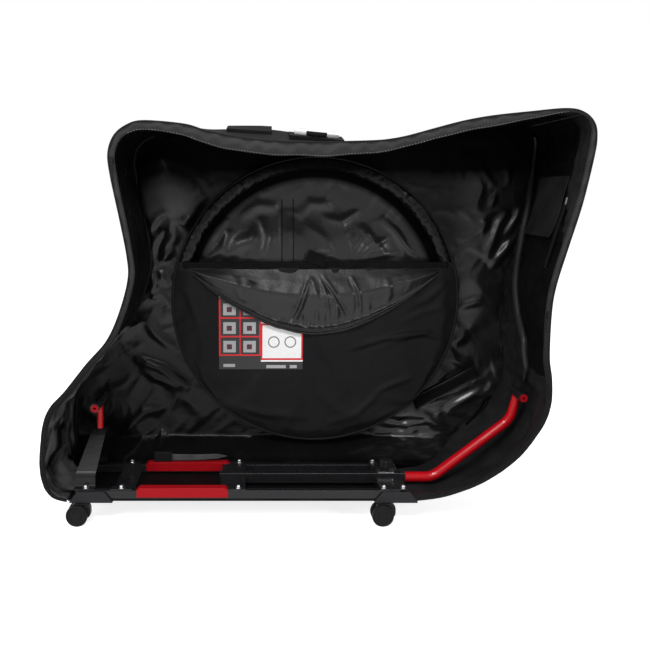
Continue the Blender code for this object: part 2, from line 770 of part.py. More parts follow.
def build_pocket():
    """The round wheel pocket: a deep ring sewn to the back panel and a front below its mouth."""
    front = PANEL_Y - GAP - POCKET_DEPTH
    back = PANEL_Y - GAP
    outer = circle((POCKET_X, POCKET_Z), POCKET_RADIUS, 56)
    inner = circle((POCKET_X, POCKET_Z), POCKET_RADIUS - POCKET_RING, 56)
    ring = pipe_prism(outer, inner, front + POCKET_FABRIC, back, "Y")
    add_object("pocket_ring", ring, "pocket_ripstop", smooth=50)

    mouth = POCKET_Z + MOUTH_RISE
    half = math.acos(MOUTH_RISE / POCKET_RADIUS)
    start = math.pi / 2 + half
    sweep = 2 * (math.pi - half)
    steps = 44
    sheet = [(POCKET_X + POCKET_RADIUS * math.cos(start + sweep * i / steps),
              POCKET_Z + POCKET_RADIUS * math.sin(start + sweep * i / steps))
             for i in range(steps + 1)]
    sheet_front = front - GAP
    add_object("pocket_front", prism(sheet, sheet_front, front + POCKET_FABRIC - GAP, "Y"),
               "pocket_ripstop")

    hem_half = math.sqrt(POCKET_RADIUS ** 2 - MOUTH_RISE ** 2) - POCKET_RING
    hem_y = sheet_front - GAP
    hem = block((POCKET_X - hem_half, hem_y - HEM_THICKNESS, mouth - HEM_HEIGHT),
                (POCKET_X + hem_half, hem_y, mouth))
    hem_object = add_object("pocket_hem", hem, "webbing")
    soften(hem_object)
    return mouth, hem_y, hem_half


def build_valance(mouth, hem_y, hem_half):
    """The loose satin flap that hangs over the pocket's mouth, with its pull tab."""
    top = mouth - HEM_HEIGHT
    back = hem_y - CARD_THICKNESS - 2 * GAP
    columns = 22
    rings = []
    for i in range(columns + 1):
        share = i / columns
        across = 2 * share - 1
        x = POCKET_X + (hem_half - VALANCE_INSET) * across
        full = 1 - FALL_SHARES["loss"] * abs(across) ** FALL_SHARES["curve"]
        fall = VALANCE_DROP * full
        low = top - GAP - fall
        roll = [(back - VALANCE_SHEET, low)]
        for depth, height in VALANCE_SHARES:
            swell = VALANCE_SHEET + (VALANCE_ROLL - VALANCE_SHEET) * depth * full
            roll.append((back - swell, low + fall * height))
        roll += [(back - VALANCE_SHEET, top - GAP), (back, top - GAP), (back, low)]
        rings.append([(x, y, z) for y, z in roll])
    add_object("pocket_valance", loft(rings), "lining_satin", smooth=60)

    tab_back = hem_y - HEM_THICKNESS - GAP
    outline = [(POCKET_X + TAB_WIDTH * across, mouth - HEM_HEIGHT + TAB_HEIGHT * up)
               for across, up in TAB_SHARES]
    tab = add_object("pocket_tab", prism(outline, tab_back - TAB_THICKNESS, tab_back, "Y"),
                     "webbing")
    soften(tab)


def build_card(hem_y):
    """The printed card that lies against the pocket, in two stepped leaves."""
    back = hem_y
    right = CARD_X + 2 * CARD_WIDTH
    bottom = CARD_TOP - CARD_HEIGHT
    outline = [(CARD_X, bottom), (right, bottom), (right, CARD_TOP - CARD_STEP),
               (CARD_X + CARD_WIDTH, CARD_TOP - CARD_STEP), (CARD_X + CARD_WIDTH, CARD_TOP),
               (CARD_X, CARD_TOP)]
    add_object("instruction_card", prism(outline, back - CARD_THICKNESS, back, "Y"),
               "card_print")


def build_top_pad(path):
    """The rubber pad on the top, which follows its crown."""
    pad = wall_band(row_stations(path, PAD_ROWS), PAD_SHARES, GAP, GAP + PAD_THICKNESS)
    add_object("top_pad", pad, "black_rubber", smooth=60)


def build_handle(path):
    """The carry handle: a stiff base on the crown's near slope, two brackets and a bail."""
    stations = row_stations(path, HANDLE_ROWS)
    rows = [[Vector(wall_point(station, share, GAP)) for share in HANDLE_SHARES]
            for station in stations]
    middle = rows[len(rows) // 2]
    along = (rows[-1][1] - rows[0][1]).normalized()
    up = along.cross(middle[-1] - middle[0]).normalized()
    across = up.cross(along)
    seat = (middle[0] + middle[-1]) / 2
    seat += up * (max((point - seat).dot(up) for row in rows for point in row) + HANDLE_BASE)

    bm = wall_band(stations, HANDLE_SHARES, GAP, GAP + HANDLE_BASE)
    feet = set()
    for row in rows:
        feet.update(tuple(round(value / GAP) for value in point) for point in row)
    for vert in bm.verts:
        if tuple(round(value / GAP) for value in vert.co) not in feet:
            vert.co += up * (seat - vert.co).dot(up)
    add_object("handle_base", bm, "black_rubber")

    place = Matrix((along, across, up)).transposed().to_4x4()
    place.translation = seat
    build_brackets(place)
    build_bail(place)


def build_brackets(place):
    """The two bright brackets that hold the pins of the bail."""
    pin_z = GAP + HANDLE_GRIP / 2
    for name, sign in (("rear", -1), ("front", 1)):
        inner = sign * HANDLE_GAP / 2
        outer = inner + sign * BRACKET_LENGTH
        half = BRACKET_DEPTH / 2
        crown = rounded_path([(half, GAP), (half, BRACKET_HEIGHT), (-half, BRACKET_HEIGHT),
                              (-half, GAP)], BRACKET_HEIGHT * ROUND_SHARES["bracket"], 3)
        bm = prism(crown, min(inner, outer), max(inner, outer), "X")
        bmesh.ops.transform(bm, matrix=place, verts=bm.verts)
        bracket = add_object("handle_bracket_%s" % name, bm, "steel")
        tip = inner + sign * (HANDLE_PIN_LENGTH + RUNNING_PLAY)
        mouth = inner - sign * OVERRUN
        hole = rod((0, 0, pin_z), "X", HANDLE_PIN / 2 + RUNNING_PLAY / 2, min(mouth, tip),
                   max(mouth, tip), 16)
        bmesh.ops.transform(hole, matrix=place, verts=hole.verts)
        cut_with(bracket, hole, "pin_hole_%s" % name)


def build_bail(place):
    """The moulded bail that a hand lifts, lying forward on its base."""
    pin_z = GAP + HANDLE_GRIP / 2
    half = HANDLE_GAP / 2
    leg = half - HANDLE_INSET - RUNNING_PLAY
    corners = [(-half - HANDLE_PIN_LENGTH, 0), (-leg, 0), (-leg, -HANDLE_REACH),
               (leg, -HANDLE_REACH), (leg, 0), (half + HANDLE_PIN_LENGTH, 0)]
    route = rounded_path(corners, HANDLE_GRIP * ROUND_SHARES["bail"], 4)
    rings = []
    for i, point in enumerate(route):
        here = Vector((point[0], point[1], pin_z))
        before, after = route[max(i - 1, 0)], route[min(i + 1, len(route) - 1)]
        heading = Vector((after[0] - before[0], after[1] - before[1], 0)).normalized()
        side = Vector((heading.y, -heading.x, 0))
        drop = min(abs(point[1]) / HANDLE_REACH, 1)
        radius = (HANDLE_PIN + (HANDLE_GRIP - HANDLE_PIN) * drop) / 2
        rings.append([here + side * a + Vector((0, 0, b)) for a, b in circle((0, 0), radius, 12)])
    bm = loft(rings)
    bmesh.ops.transform(bm, matrix=place, verts=bm.verts)
    add_object("handle_grip", bm, "black_rubber", origin=place @ Vector((0, 0, pin_z)), smooth=60)


def front_wall(path, low, high):
    """Stations of the front end's wall between two heights, from the lower one up."""
    first, last = FRONT_TURN, len(path) - 1
    top = place_along(path, first, last, "z", high)
    foot = place_along(path, first, last, "z", low)
    return stretch(path, top, foot)[::-1]


def wall_ring(station, inset, radius, count=12):
    """A ring of points round a place inside the wall, square to the wall's run."""
    ring = []
    for a, b in circle((0, 0), radius, count):
        ring.append((station.x + station.nx * (a - inset), TUNNEL_Y + b,
                     station.z + station.nz * (a - inset)))
    return ring


def build_front_wall_fittings(path):
    """The side flap and the stiffening rod in its sewn tunnel, inside the front end."""
    stations = front_wall(path, FLAP_FROM_Z, FLAP_TO_Z)
    shares = (share_at(stations[0], FLAP_NEAR_Y), share_at(stations[0], FLAP_FAR_Y))
    flap = wall_band(stations, shares, -WALL - GAP - PATCH, -WALL - GAP)
    add_object("side_flap", flap, "lining_satin")

    inset = WALL + GAP + TUNNEL_DIAMETER / 2
    hole = STIFFENER / 2 + RUNNING_PLAY / 2
    tunnel = front_wall(path, TUNNEL_FROM_Z, TUNNEL_TO_Z)
    bore = front_wall(path, TUNNEL_FROM_Z + TUNNEL_END, TUNNEL_TO_Z)
    rings = [wall_ring(station, inset, TUNNEL_DIAMETER / 2) for station in tunnel]
    rings += [wall_ring(station, inset, hole) for station in bore[::-1]]
    add_object("stiffener_tunnel", loft(rings), "shell_fabric", smooth=60)

    inside = front_wall(path, TUNNEL_FROM_Z + TUNNEL_END + GAP, TUNNEL_TO_Z + STIFFENER_SHOWS)
    rings = [wall_ring(station, inset, STIFFENER / 2) for station in inside]
    add_object("stiffener_rod", loft(rings), "grey_rod", smooth=60)


def build_strap_loop(path):
    """The small webbing loop inside the rear end."""
    station = station_at(path, place_along(path, 0, REAR_TURN, "z", LOOP_Z))
    half = LOOP_LENGTH / 2
    bend = rounded_path([(-half, 0), (-half, LOOP_REACH), (half, LOOP_REACH), (half, 0)],
                        LOOP_REACH * ROUND_SHARES["loop"], 4)
    outline = []
    for a, depth in sheet_outline(bend, LOOP_WEBBING):
        inset = WALL + 2 * GAP + depth
        outline.append((station.x + station.nz * a - station.nx * inset,
                        station.z - station.nx * a - station.nz * inset))
    bm = prism(outline, LOOP_Y - LOOP_WIDTH / 2, LOOP_Y + LOOP_WIDTH / 2, "Y")
    add_object("strap_loop", bm, "webbing")


def build_panel_strap():
    """The webbing strap sewn across the back panel's front corner."""
    angle = math.radians(PANEL_STRAP_ANGLE)
    reach = POCKET_RADIUS + PANEL_STRAP_CLEARANCE
    start = Vector((POCKET_X + reach * math.cos(angle), POCKET_Z + reach * math.sin(angle)))
    end = Vector((PANEL_STRAP_END_X, PANEL_STRAP_END_Z))
    heading = (end - start).normalized()
    side = Vector((-heading.y, heading.x)) * PANEL_STRAP_WIDTH / 2
    outline = [tuple(start - side), tuple(end - side), tuple(end + side), tuple(start + side)]
    bm = prism(outline, PANEL_Y - GAP - TIE_WEBBING, PANEL_Y - GAP, "Y")
    add_object("panel_strap", bm, "webbing")


def build_tie():
    """The tie on the far sleeve: a grey webbing tongue that comes out of a black buckle."""
    y = FRAME_Y + RAIL_Y
    seat = RAIL_TOP + 2 * GAP + SLEEVE_PAD
    half = TIE_WEBBING / 2
    tongue_x = TIE_X + BUCKLE_INSET
    end = tongue_x + TIE_LENGTH
    outline = [(tongue_x, seat), (end - TIE_WIDTH, seat + TIE_RISE), (end, seat + TIE_WIDTH / 2),
               (end - TIE_WIDTH - TIE_WIDTH / 2, seat + TIE_WIDTH), (tongue_x, seat + TIE_WIDTH)]
    add_object("tie_strap", prism(outline, y - half, y + half, "Y"), "grey_webbing")

    inner = half + GAP
    outer = inner + BUCKLE_WALL
    height = TIE_WIDTH + GAP
    low, high = TIE_X, TIE_X + BUCKLE_LENGTH
    section = [(-outer, 0), (-inner, 0), (-inner, height), (inner, height), (inner, 0),
               (outer, 0), (outer, height + BUCKLE_WALL), (-outer, height + BUCKLE_WALL)]
    bm = prism([(y + a, seat + b) for a, b in section], low, high, "X")
    buckle = add_object("tie_buckle", bm, "hard_plastic")
    soften(buckle)


def build_zip_slider(path, name, first, last, height):
    """A zip slider parked on the rim, and its pull tab on the slider's pin."""
    station = station_at(path, place_along(path, first, last, "z", height))
    side = Vector((station.nx, 0, station.nz)) * math.copysign(1, station.nx)
    deep = Vector((0, 1, 0))
    place = Matrix((side, deep, side.cross(deep))).transposed().to_4x4()
    inset = station.rim / 2
    place.translation = Vector((station.x - station.nx * inset, near_edge(station.z),
                                station.z - station.nz * inset))
    face = -GAP - SLIDER_BASE
    pin_y = -SLIDER_STAND + PULL_BARREL / 2 + GAP
    inner = PULL_WIDTH / 2 + PULL_PLAY
    outer = inner + SLIDER_EAR

    half = [(a * SLIDER_WIDTH, b * SLIDER_LENGTH) for a, b in SLIDER_SHARES]
    outline = half + [(-a, b) for a, b in half[::-1]]
    base = prism(outline, face, -GAP, "Y")
    long = SLIDER_EAR_LENGTH / 2
    ears = [block((sign * (inner + outer) / 2 - SLIDER_EAR / 2, -SLIDER_STAND, -long),
                  (sign * (inner + outer) / 2 + SLIDER_EAR / 2, -GAP * 2, long))
            for sign in (-1, 1)]
    pin = rod((0, pin_y, 0), "X", PULL_PIN / 2, -(inner + outer) / 2, (inner + outer) / 2, 12)
    for bm in [base, pin] + ears:
        bmesh.ops.transform(bm, matrix=place, verts=bm.verts)
    origin = place @ Vector((0, pin_y, 0))
    slider = add_object("zip_slider_%s" % name, base, "hard_plastic", origin=origin)
    for number, ear in enumerate(ears):
        join_with(slider, ear, "slider_ear_%s_%d" % (name, number))
    join_with(slider, pin, "slider_pin_%s" % name)

    radius = PULL_BARREL / 2
    tail = PULL_THICKNESS / 2
    open_angle = math.asin(tail / radius)
    sweep = 2 * (math.pi - open_angle)
    steps = 14
    outline = [(pin_y - tail, -PULL_LENGTH), (pin_y + tail, -PULL_LENGTH)]
    for i in range(steps + 1):
        angle = -math.pi / 2 + open_angle + sweep * i / steps
        outline.append((pin_y + radius * math.cos(angle), radius * math.sin(angle)))
    bm = prism(outline, -PULL_WIDTH / 2, PULL_WIDTH / 2, "X")
    hole = rod((0, pin_y, 0), "X", PULL_PIN / 2 + PULL_PLAY, -PULL_WIDTH, PULL_WIDTH, 14)
    for shape in (bm, hole):
        bmesh.ops.transform(shape, matrix=place, verts=shape.verts)
    pull = add_object("zip_pull_%s" % name, bm, "hard_plastic", origin=origin)
    cut_with(pull, hole, "pull_hole_%s" % name)


def build_castor(end, side, swivel, centre_y):
    """One castor: a hood that swivels under the plate, and a pair of wheels on one axle."""
    tag = "%s_%s" % (end, side)
    top = PLATE_Z - GAP
    guide = add_guide("castor_%s_axis" % tag, (swivel, centre_y, top))
    half = HOOD_LENGTH / 2
    low = top - HOOD_DROP
    outline = rounded_path([(swivel - half, low), (swivel + half, low), (swivel + half, top - EDGE),
                            (swivel - half, top - EDGE)], HOOD_CORNER, 4, closed=True)
    outline = [(x, min(z, top)) for x, z in outline]
    hood = add_object("castor_hood_%s" % tag,
                      prism(outline, centre_y - HOOD_WIDTH / 2, centre_y + HOOD_WIDTH / 2, "Y"),
                      "hard_plastic", origin=(swivel, centre_y, top))
    wheel_x = swivel - TRAIL
    wheel_z = WHEEL_DIAMETER / 2
    hole = turned([(0, -HOOD_WIDTH), (AXLE_DIAMETER / 2 + RUNNING_PLAY, -HOOD_WIDTH),
                   (AXLE_DIAMETER / 2 + RUNNING_PLAY, HOOD_WIDTH), (0, HOOD_WIDTH)],
                  (wheel_x, centre_y, wheel_z), "Y", 14)
    cut_with(hood, hole, "axle_hole_%s" % tag)
    collar = rod((swivel, centre_y, 0), "Z", SWIVEL_DIAMETER / 2, top - SWIVEL_COLLAR, top, 24)
    join_with(hood, collar, "swivel_collar_%s" % tag)
    attach(hood, guide)

    radius = WHEEL_DIAMETER / 2
    inner = HOOD_WIDTH / 2 + WHEEL_PLAY
    outer = inner + WHEEL_WIDTH
    half_profile = [(0, outer)]
    half_profile += [(radius * place, outer - WHEEL_DISH * deep) for place, deep in DISH_SHARES]
    half_profile += [(radius - EDGE, outer), (radius, outer - EDGE), (radius, inner + EDGE),
                     (radius - EDGE, inner), (AXLE_DIAMETER / 2, inner)]
    profile = half_profile + [(r, -a) for r, a in half_profile[::-1]]
    wheels = add_object("castor_wheels_%s" % tag,
                        turned(profile, (wheel_x, centre_y, wheel_z), "Y", 28),
                        "wheel_rubber", origin=(wheel_x, centre_y, wheel_z))
    attach(wheels, guide)


def build_castors():
    """Four castors, under the two ends of each castor plate."""
    for end, x in (("rear", REAR_CASTOR_X), ("front", FRONT_CASTOR_X)):
        for side, sign in (("near", -1), ("far", 1)):
            build_castor(end, side, x, FRAME_Y + sign * CASTOR_Y)


def build_castor_plates():
    """The two pressed plates that clasp the base, with a sloped lip up each side."""
    for end, x in (("rear", REAR_CASTOR_X), ("front", FRONT_CASTOR_X)):
        middle = x + PLATE_LEAD
        near = -BASE_WIDTH / 2 - 2 * GAP
        far = BASE_WIDTH / 2 + PANEL + 2 * GAP
        lip_top = PLATE_Z + CASTOR_PLATE + LIP_HEIGHT
        path = [(near, lip_top), (near, PLATE_Z + CASTOR_PLATE),
                (far, PLATE_Z + CASTOR_PLATE), (far, lip_top)]
        path = [(FRAME_Y + y, z) for y, z in path]
        outline = sheet_outline(path, CASTOR_PLATE)
        low, high = middle - PLATE_LENGTH / 2, middle + PLATE_LENGTH / 2
        bm = prism(outline, low, high, "X")
        slope = (PLATE_LENGTH - LIP_TOP_LENGTH) / 2 / LIP_HEIGHT
        for vert in bm.verts:
            rise = max(vert.co.z - PLATE_Z - CASTOR_PLATE, 0)
            vert.co.x -= math.copysign(rise * slope, vert.co.x - middle)
        plate = add_object("castor_plate_%s" % end, bm, "plate_black")
        soften(plate, EDGE / 2)


def square(centre, size):
    """Outline of an upright square tube with its drawn corners."""
    return rounded_rectangle(centre, size, size, TUBE_CORNER, 3)


def build_rails():
    """Two square rails, each with a red padded sleeve clipped over it."""
    for name, sign in (("near", -1), ("far", 1)):
        centre = (FRAME_Y + sign * RAIL_Y, RAIL_Z + RAIL / 2)
        bm = pipe_prism(square(centre, RAIL), square(centre, RAIL - 2 * RAIL_WALL),
                        RAIL_REAR_X, RAIL_FRONT_X, "X")
        add_object("%s_rail" % name, bm, "rail_black", smooth=40)

        inner = RAIL / 2 + GAP
        outer = inner + SLEEVE_WALL
        roof = RAIL_TOP + GAP
        skirt = RAIL_Z + SLEEVE_SKIRT
        outline = [(-outer, skirt), (-inner, skirt), (-inner, roof), (inner, roof),
                   (inner, skirt), (outer, skirt), (outer, roof + SLEEVE_PAD),
                   (-outer, roof + SLEEVE_PAD)]
        bm = prism([(centre[0] + y, z) for y, z in outline], SLEEVE_REAR_X, SLEEVE_FRONT_X, "X")
        middle = (SLEEVE_REAR_X + SLEEVE_FRONT_X) / 2
        for vert in bm.verts:
            if vert.co.z > roof + EDGE:
                vert.co.x -= math.copysign(SLEEVE_TAPER, vert.co.x - middle)
        sleeve = add_object("%s_rail_sleeve" % name, bm, "red_plastic")
        soften(sleeve)


def member_outline(notch):
    """Section of a cross member: ears on both rails and a dropped middle."""
    ear = RAIL_Y + RAIL / 2 - EDGE
    drop = RAIL_Y - RAIL / 2 - GAP
    top = RAIL_TOP + GAP + MEMBER_EAR
    low = RAIL_Z + MEMBER_LIFT
    if notch:
        half = TUBE / 2 + GAP
        middle = [(half, top), (half, TUBE_Z - GAP)]
    else:
        middle = [(drop - MEMBER_EAR, top), (drop - MEMBER_EAR, low + MEMBER_FLOOR)]
    right = [(drop, low), (drop, RAIL_TOP + GAP), (ear, RAIL_TOP + GAP), (ear, top)] + middle
    left = [(-y, z) for y, z in right[::-1]]
    return [(FRAME_Y + y, z) for y, z in right + left]


def build_cross_members():
    """Three cross members; the middle and front ones guide the sliding tube."""
    rows = (("rear_cross_member", REAR_MEMBER_X, REAR_MEMBER_LENGTH, False),
            ("middle_cross_member", MID_MEMBER_X, MID_MEMBER_LENGTH, True),
            ("front_cross_member", FRONT_MEMBER_X, FRONT_MEMBER_LENGTH, True))
    for name, x, length, notch in rows:
        bm = prism(member_outline(notch), x - length / 2, x + length / 2, "X")
        piece = add_object(name, bm, "rail_black")
        if name == "front_cross_member":
            cut_with(piece, stud_hole(RAIL_Z, TUBE_Z), "stud_hole_member")
        if name == "middle_cross_member":
            cut_with(piece, sleeve_relief(x - length / 2), "sleeve_relief")


def sleeve_relief(rear):
    """The two corners that the middle cross member gives up to the ends of the sleeves."""
    front = SLEEVE_FRONT_X + GAP
    inner = RAIL_Y - RAIL / 2 - SLEEVE_WALL - 2 * GAP
    outer = RAIL_Y + RAIL
    bm = bmesh.new()
    for low, high in ((-outer, -inner), (inner, outer)):
        part = block((rear - OVERRUN, FRAME_Y + low, RAIL_Z - OVERRUN),
                     (front, FRAME_Y + high, RAIL_TOP + RAIL))
        mesh = bpy.data.meshes.new("relief")
        part.to_mesh(mesh)
        part.free()
        bm.from_mesh(mesh)
        bpy.data.meshes.remove(mesh)
    return bm


def stud_hole(low, high):
    """A round hole for the clamp's stud."""
    radius = STUD_DIAMETER / 2 + RUNNING_PLAY
    profile = [(0, low - OVERRUN), (radius, low - OVERRUN), (radius, high + OVERRUN),
               (0, high + OVERRUN)]
    return turned(profile, (CLAMP_X, FRAME_Y, 0), "Z", 16)


def build_clamp():
    """The clamp plate on the sliding tube, and the knob whose stud passes through both."""
    low = TUBE_TOP + GAP
    high = low + CLAMP_PLATE
    outline = rounded_rectangle((CLAMP_X, FRAME_Y), CLAMP_PLATE_LENGTH, CLAMP_PLATE_WIDTH,
                                CLAMP_PLATE)
    plate = add_object("clamp_plate", prism(outline, low, high, "Z"), "steel")
    cut_with(plate, stud_hole(low, high), "stud_hole_plate")

    seat = high + GAP
    rings = []
    shaft = STUD_DIAMETER / 2
    count = KNOB_LOBES * 6
    for radius, z, lobe in ((shaft, RAIL_Z + MEMBER_LIFT, 0), (shaft, seat, 0),
                            (KNOB_COLLAR / 2, seat, 0), (KNOB_COLLAR / 2, seat + KNOB_NECK, 0),
                            (KNOB_DIAMETER / 2 - EDGE, seat + KNOB_NECK, 1),
                            (KNOB_DIAMETER / 2, seat + KNOB_NECK + EDGE * 2, 1),
                            (KNOB_DIAMETER / 2, seat + KNOB_NECK + KNOB_HEIGHT - EDGE * 3, 1),
                            (KNOB_DIAMETER / 2 - EDGE * 3, seat + KNOB_NECK + KNOB_HEIGHT, 1)):
        ring = []
        for i in range(count):
            angle = 2 * math.pi * i / count
            r = radius - lobe * KNOB_LOBE_DEPTH * (1 + math.cos(KNOB_LOBES * angle)) / 2
            ring.append((CLAMP_X + r * math.cos(angle), FRAME_Y + r * math.sin(angle), z))
        rings.append(ring)
    add_object("clamp_knob", loft(rings), "hard_plastic", origin=(CLAMP_X, FRAME_Y, seat))


def build_fork_support():
    """The sliding tube and the bent red support on its front end."""
    centre = (FRAME_Y, TUBE_MID)
    guide = add_guide("fork_support_slide", (TUBE_REAR_X, FRAME_Y, TUBE_MID))
    bm = pipe_prism(square(centre, TUBE), square(centre, TUBE - 2 * TUBE_WALL),
                    TUBE_REAR_X, TUBE_FRONT_X, "X")
    tube = add_object("middle_tube", bm, "rail_black", smooth=40)
    slot_half = STUD_DIAMETER / 2 + RUNNING_PLAY
    slot_low, slot_high = CLAMP_X - slot_half, CLAMP_X + SLIDE_BACK + slot_half
    slot = rounded_rectangle(((slot_low + slot_high) / 2, FRAME_Y), slot_high - slot_low,
                             2 * slot_half, slot_half * ROUND_SHARES["slot"], 5)
    cut_with(tube, prism(slot, TUBE_Z - OVERRUN, TUBE_TOP + OVERRUN, "Z"), "stud_slot")
    attach(tube, guide)

    start = TUBE_FRONT_X + GAP
    shoulder = (SUPPORT_SHOULDER_X, TUBE_MID + SUPPORT_RISE)
    route = rounded_path([(start, TUBE_MID), (SUPPORT_BEND_X, TUBE_MID), shoulder,
                          (FORK_AXLE_X, FORK_AXLE_Z)], SUPPORT_BEND, 6)
    rings = []
    count = 16
    for i, (x, z) in enumerate(route):
        before, after = route[max(i - 1, 0)], route[min(i + 1, len(route) - 1)]
        along = Vector((after[0] - before[0], 0, after[1] - before[1])).normalized()
        up = Vector((-along.z, 0, along.x))
        flat = min(max((z - shoulder[1] + SUPPORT_DIAMETER) / (FORK_AXLE_Z - shoulder[1]), 0), 1)
        deep = (SUPPORT_DIAMETER + (SUPPORT_HEAD_DEPTH - SUPPORT_DIAMETER) * flat) / 2
        wide = (SUPPORT_DIAMETER + (SUPPORT_HEAD_WIDTH - SUPPORT_DIAMETER) * flat) / 2
        ring = []
        for a, b in circle((0, 0), 1, count):
            ring.append(Vector((x, FRAME_Y + a * wide, z)) + up * b * deep)
        rings.append(ring)
    support = add_object("fork_support", loft(rings), "red_paint", smooth=50)
    saddle = axle_cutter(FORK_AXLE_X, FORK_AXLE_Z)
    cut_with(support, saddle, "fork_saddle")
    attach(support, guide)
    for piece in build_axle("fork", FORK_AXLE_X, FORK_AXLE_Z, FRONT_HUB):
        attach(piece, guide)


def axle_cutter(x, z):
    """The round seat that an axle sleeve takes out of the top of its support."""
    radius = SLEEVE_TUBE / 2 + GAP
    reach = SUPPORT_DIAMETER
    tall = SLEEVE_TUBE * 2
    seat = circle((x, z), radius, 32, math.pi / 32)
    lower = [(a, b) for a, b in seat if b < z]
    lower.sort(key=lambda point: point[0])
    outline = [(x - tall, z)] + [(lower[0][0], z)] + lower + [(lower[-1][0], z)]
    outline += [(x + tall, z), (x + tall, z + tall), (x - tall, z + tall)]
    return prism(outline, FRAME_Y - reach, FRAME_Y + reach, "Y")


def build_axle(name, x, z, width):
    """A hub-wide sleeve with a red cap pressed into each end."""
    sleeve_half = width / 2 - CAP_FLANGE - GAP
    bore = AXLE_BORE / 2
    profile = [(bore, -sleeve_half), (SLEEVE_TUBE / 2, -sleeve_half),
               (SLEEVE_TUBE / 2, sleeve_half), (bore, sleeve_half)]
    pieces = [add_object("%s_axle_sleeve" % name, turned(profile, (x, FRAME_Y, z), "Y", 32),
                         "rail_black", smooth=30)]
    spigot = bore - GAP
    hole = CAP_BORE / 2
    for side, sign in (("near", -1), ("far", 1)):
        face = sign * width / 2
        shoulder = face - sign * CAP_FLANGE
        tail = shoulder - sign * CAP_SPIGOT
        profile = [(hole, face), (CAP_DIAMETER / 2, face), (CAP_DIAMETER / 2, shoulder),
                   (spigot, shoulder), (spigot, tail), (hole, tail)]
        cap = turned(profile, (x, FRAME_Y, z), "Y", 24)
        pieces.append(add_object("%s_axle_cap_%s" % (name, side), cap, "red_plastic", smooth=30))
    return pieces


def build_rear_support():
    """The bent bridge over both rails, the red post on it and the rear axle sleeve."""
    foot = RAIL_TOP + GAP
    outer = RAIL_Y + RAIL / 2
    riser = outer - BRIDGE_FOOT
    crest = foot + BRIDGE_HEIGHT
    half_path = [(-outer, foot), (-riser, foot), (-riser, foot + BRIDGE_RISER),
                 (-BRIDGE_TOP_WIDTH / 2, crest)]
    path = half_path + [(-y, z) for y, z in half_path[::-1]]
    path = rounded_path(path, BRIDGE_BEND, 5)
    outline = sheet_outline([(FRAME_Y + y, z) for y, z in path], -BRIDGE_SHEET)
    low, high = REAR_AXLE_X - BRIDGE_LENGTH, REAR_AXLE_X
    middle = (low + high) / 2
    bm = prism(outline, -BRIDGE_LENGTH / 2, BRIDGE_LENGTH / 2, "X")
    for vert in bm.verts:
        rise = min(max((vert.co.z - foot - BRIDGE_RISER) / (BRIDGE_HEIGHT - BRIDGE_RISER), 0), 1)
        vert.co.x *= 1 - rise * (1 - BRIDGE_TOP_LENGTH / BRIDGE_LENGTH)
        vert.co.x += middle + rise * (REAR_AXLE_X - middle)
    bridge = add_object("rear_bridge", bm, "rail_black", smooth=40)

    base = crest + BRIDGE_SHEET + GAP
    outline = rounded_rectangle((REAR_AXLE_X, FRAME_Y), POST_DEPTH, POST_WIDTH, POST_DEPTH / 2 - EDGE)
    post = add_object("rear_post", prism(outline, base, REAR_AXLE_Z, "Z"), "red_paint")
    cut_with(post, axle_cutter(REAR_AXLE_X, REAR_AXLE_Z), "rear_saddle")
    build_axle("rear", REAR_AXLE_X, REAR_AXLE_Z, REAR_HUB)
    return bridge


def main():
    clear_scene()
    path = body_outline()
    build_gusset(path)
    build_back_panel(path)
    build_floor(path)
    build_rim(path)
    build_zip_slider(path, "rear", 0, REAR_TURN, REAR_SLIDER_Z)
    build_zip_slider(path, "front", FRONT_TURN, len(path) - 1, FRONT_SLIDER_Z)
    mouth, hem_y, hem_half = build_pocket()
    build_valance(mouth, hem_y, hem_half)
    build_card(hem_y)
    build_top_pad(path)
    build_handle(path)
    build_front_wall_fittings(path)
    build_strap_loop(path)
    build_panel_strap()
    build_tie()
    build_rails()
    build_cross_members()
    build_clamp()
    build_fork_support()
    build_rear_support()
    build_castor_plates()
    build_castors()


main()
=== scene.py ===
# %% [markdown]
# # A soft travel bag
#
# In this lesson a measured model of a bag becomes a picture of one.
# The measured model has the right sizes, joints and hard parts, but its cloth is plain.
# Each cloth part is rebuilt here as thin, folded fabric, and some of it goes through a short
# cloth simulation, so that it buckles as real nylon does.
# The rails, castors and brackets stay where they are and only get better materials.
#
# X runs from the rear end of the bag to its front end, Y from the open side to the back, and
# Z up from the floor. Lengths are in metres.
#
# The measured model comes in first.

# %% Load the measured model
import json
import math

import bmesh
import bpy
import numpy as np
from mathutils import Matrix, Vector, noise

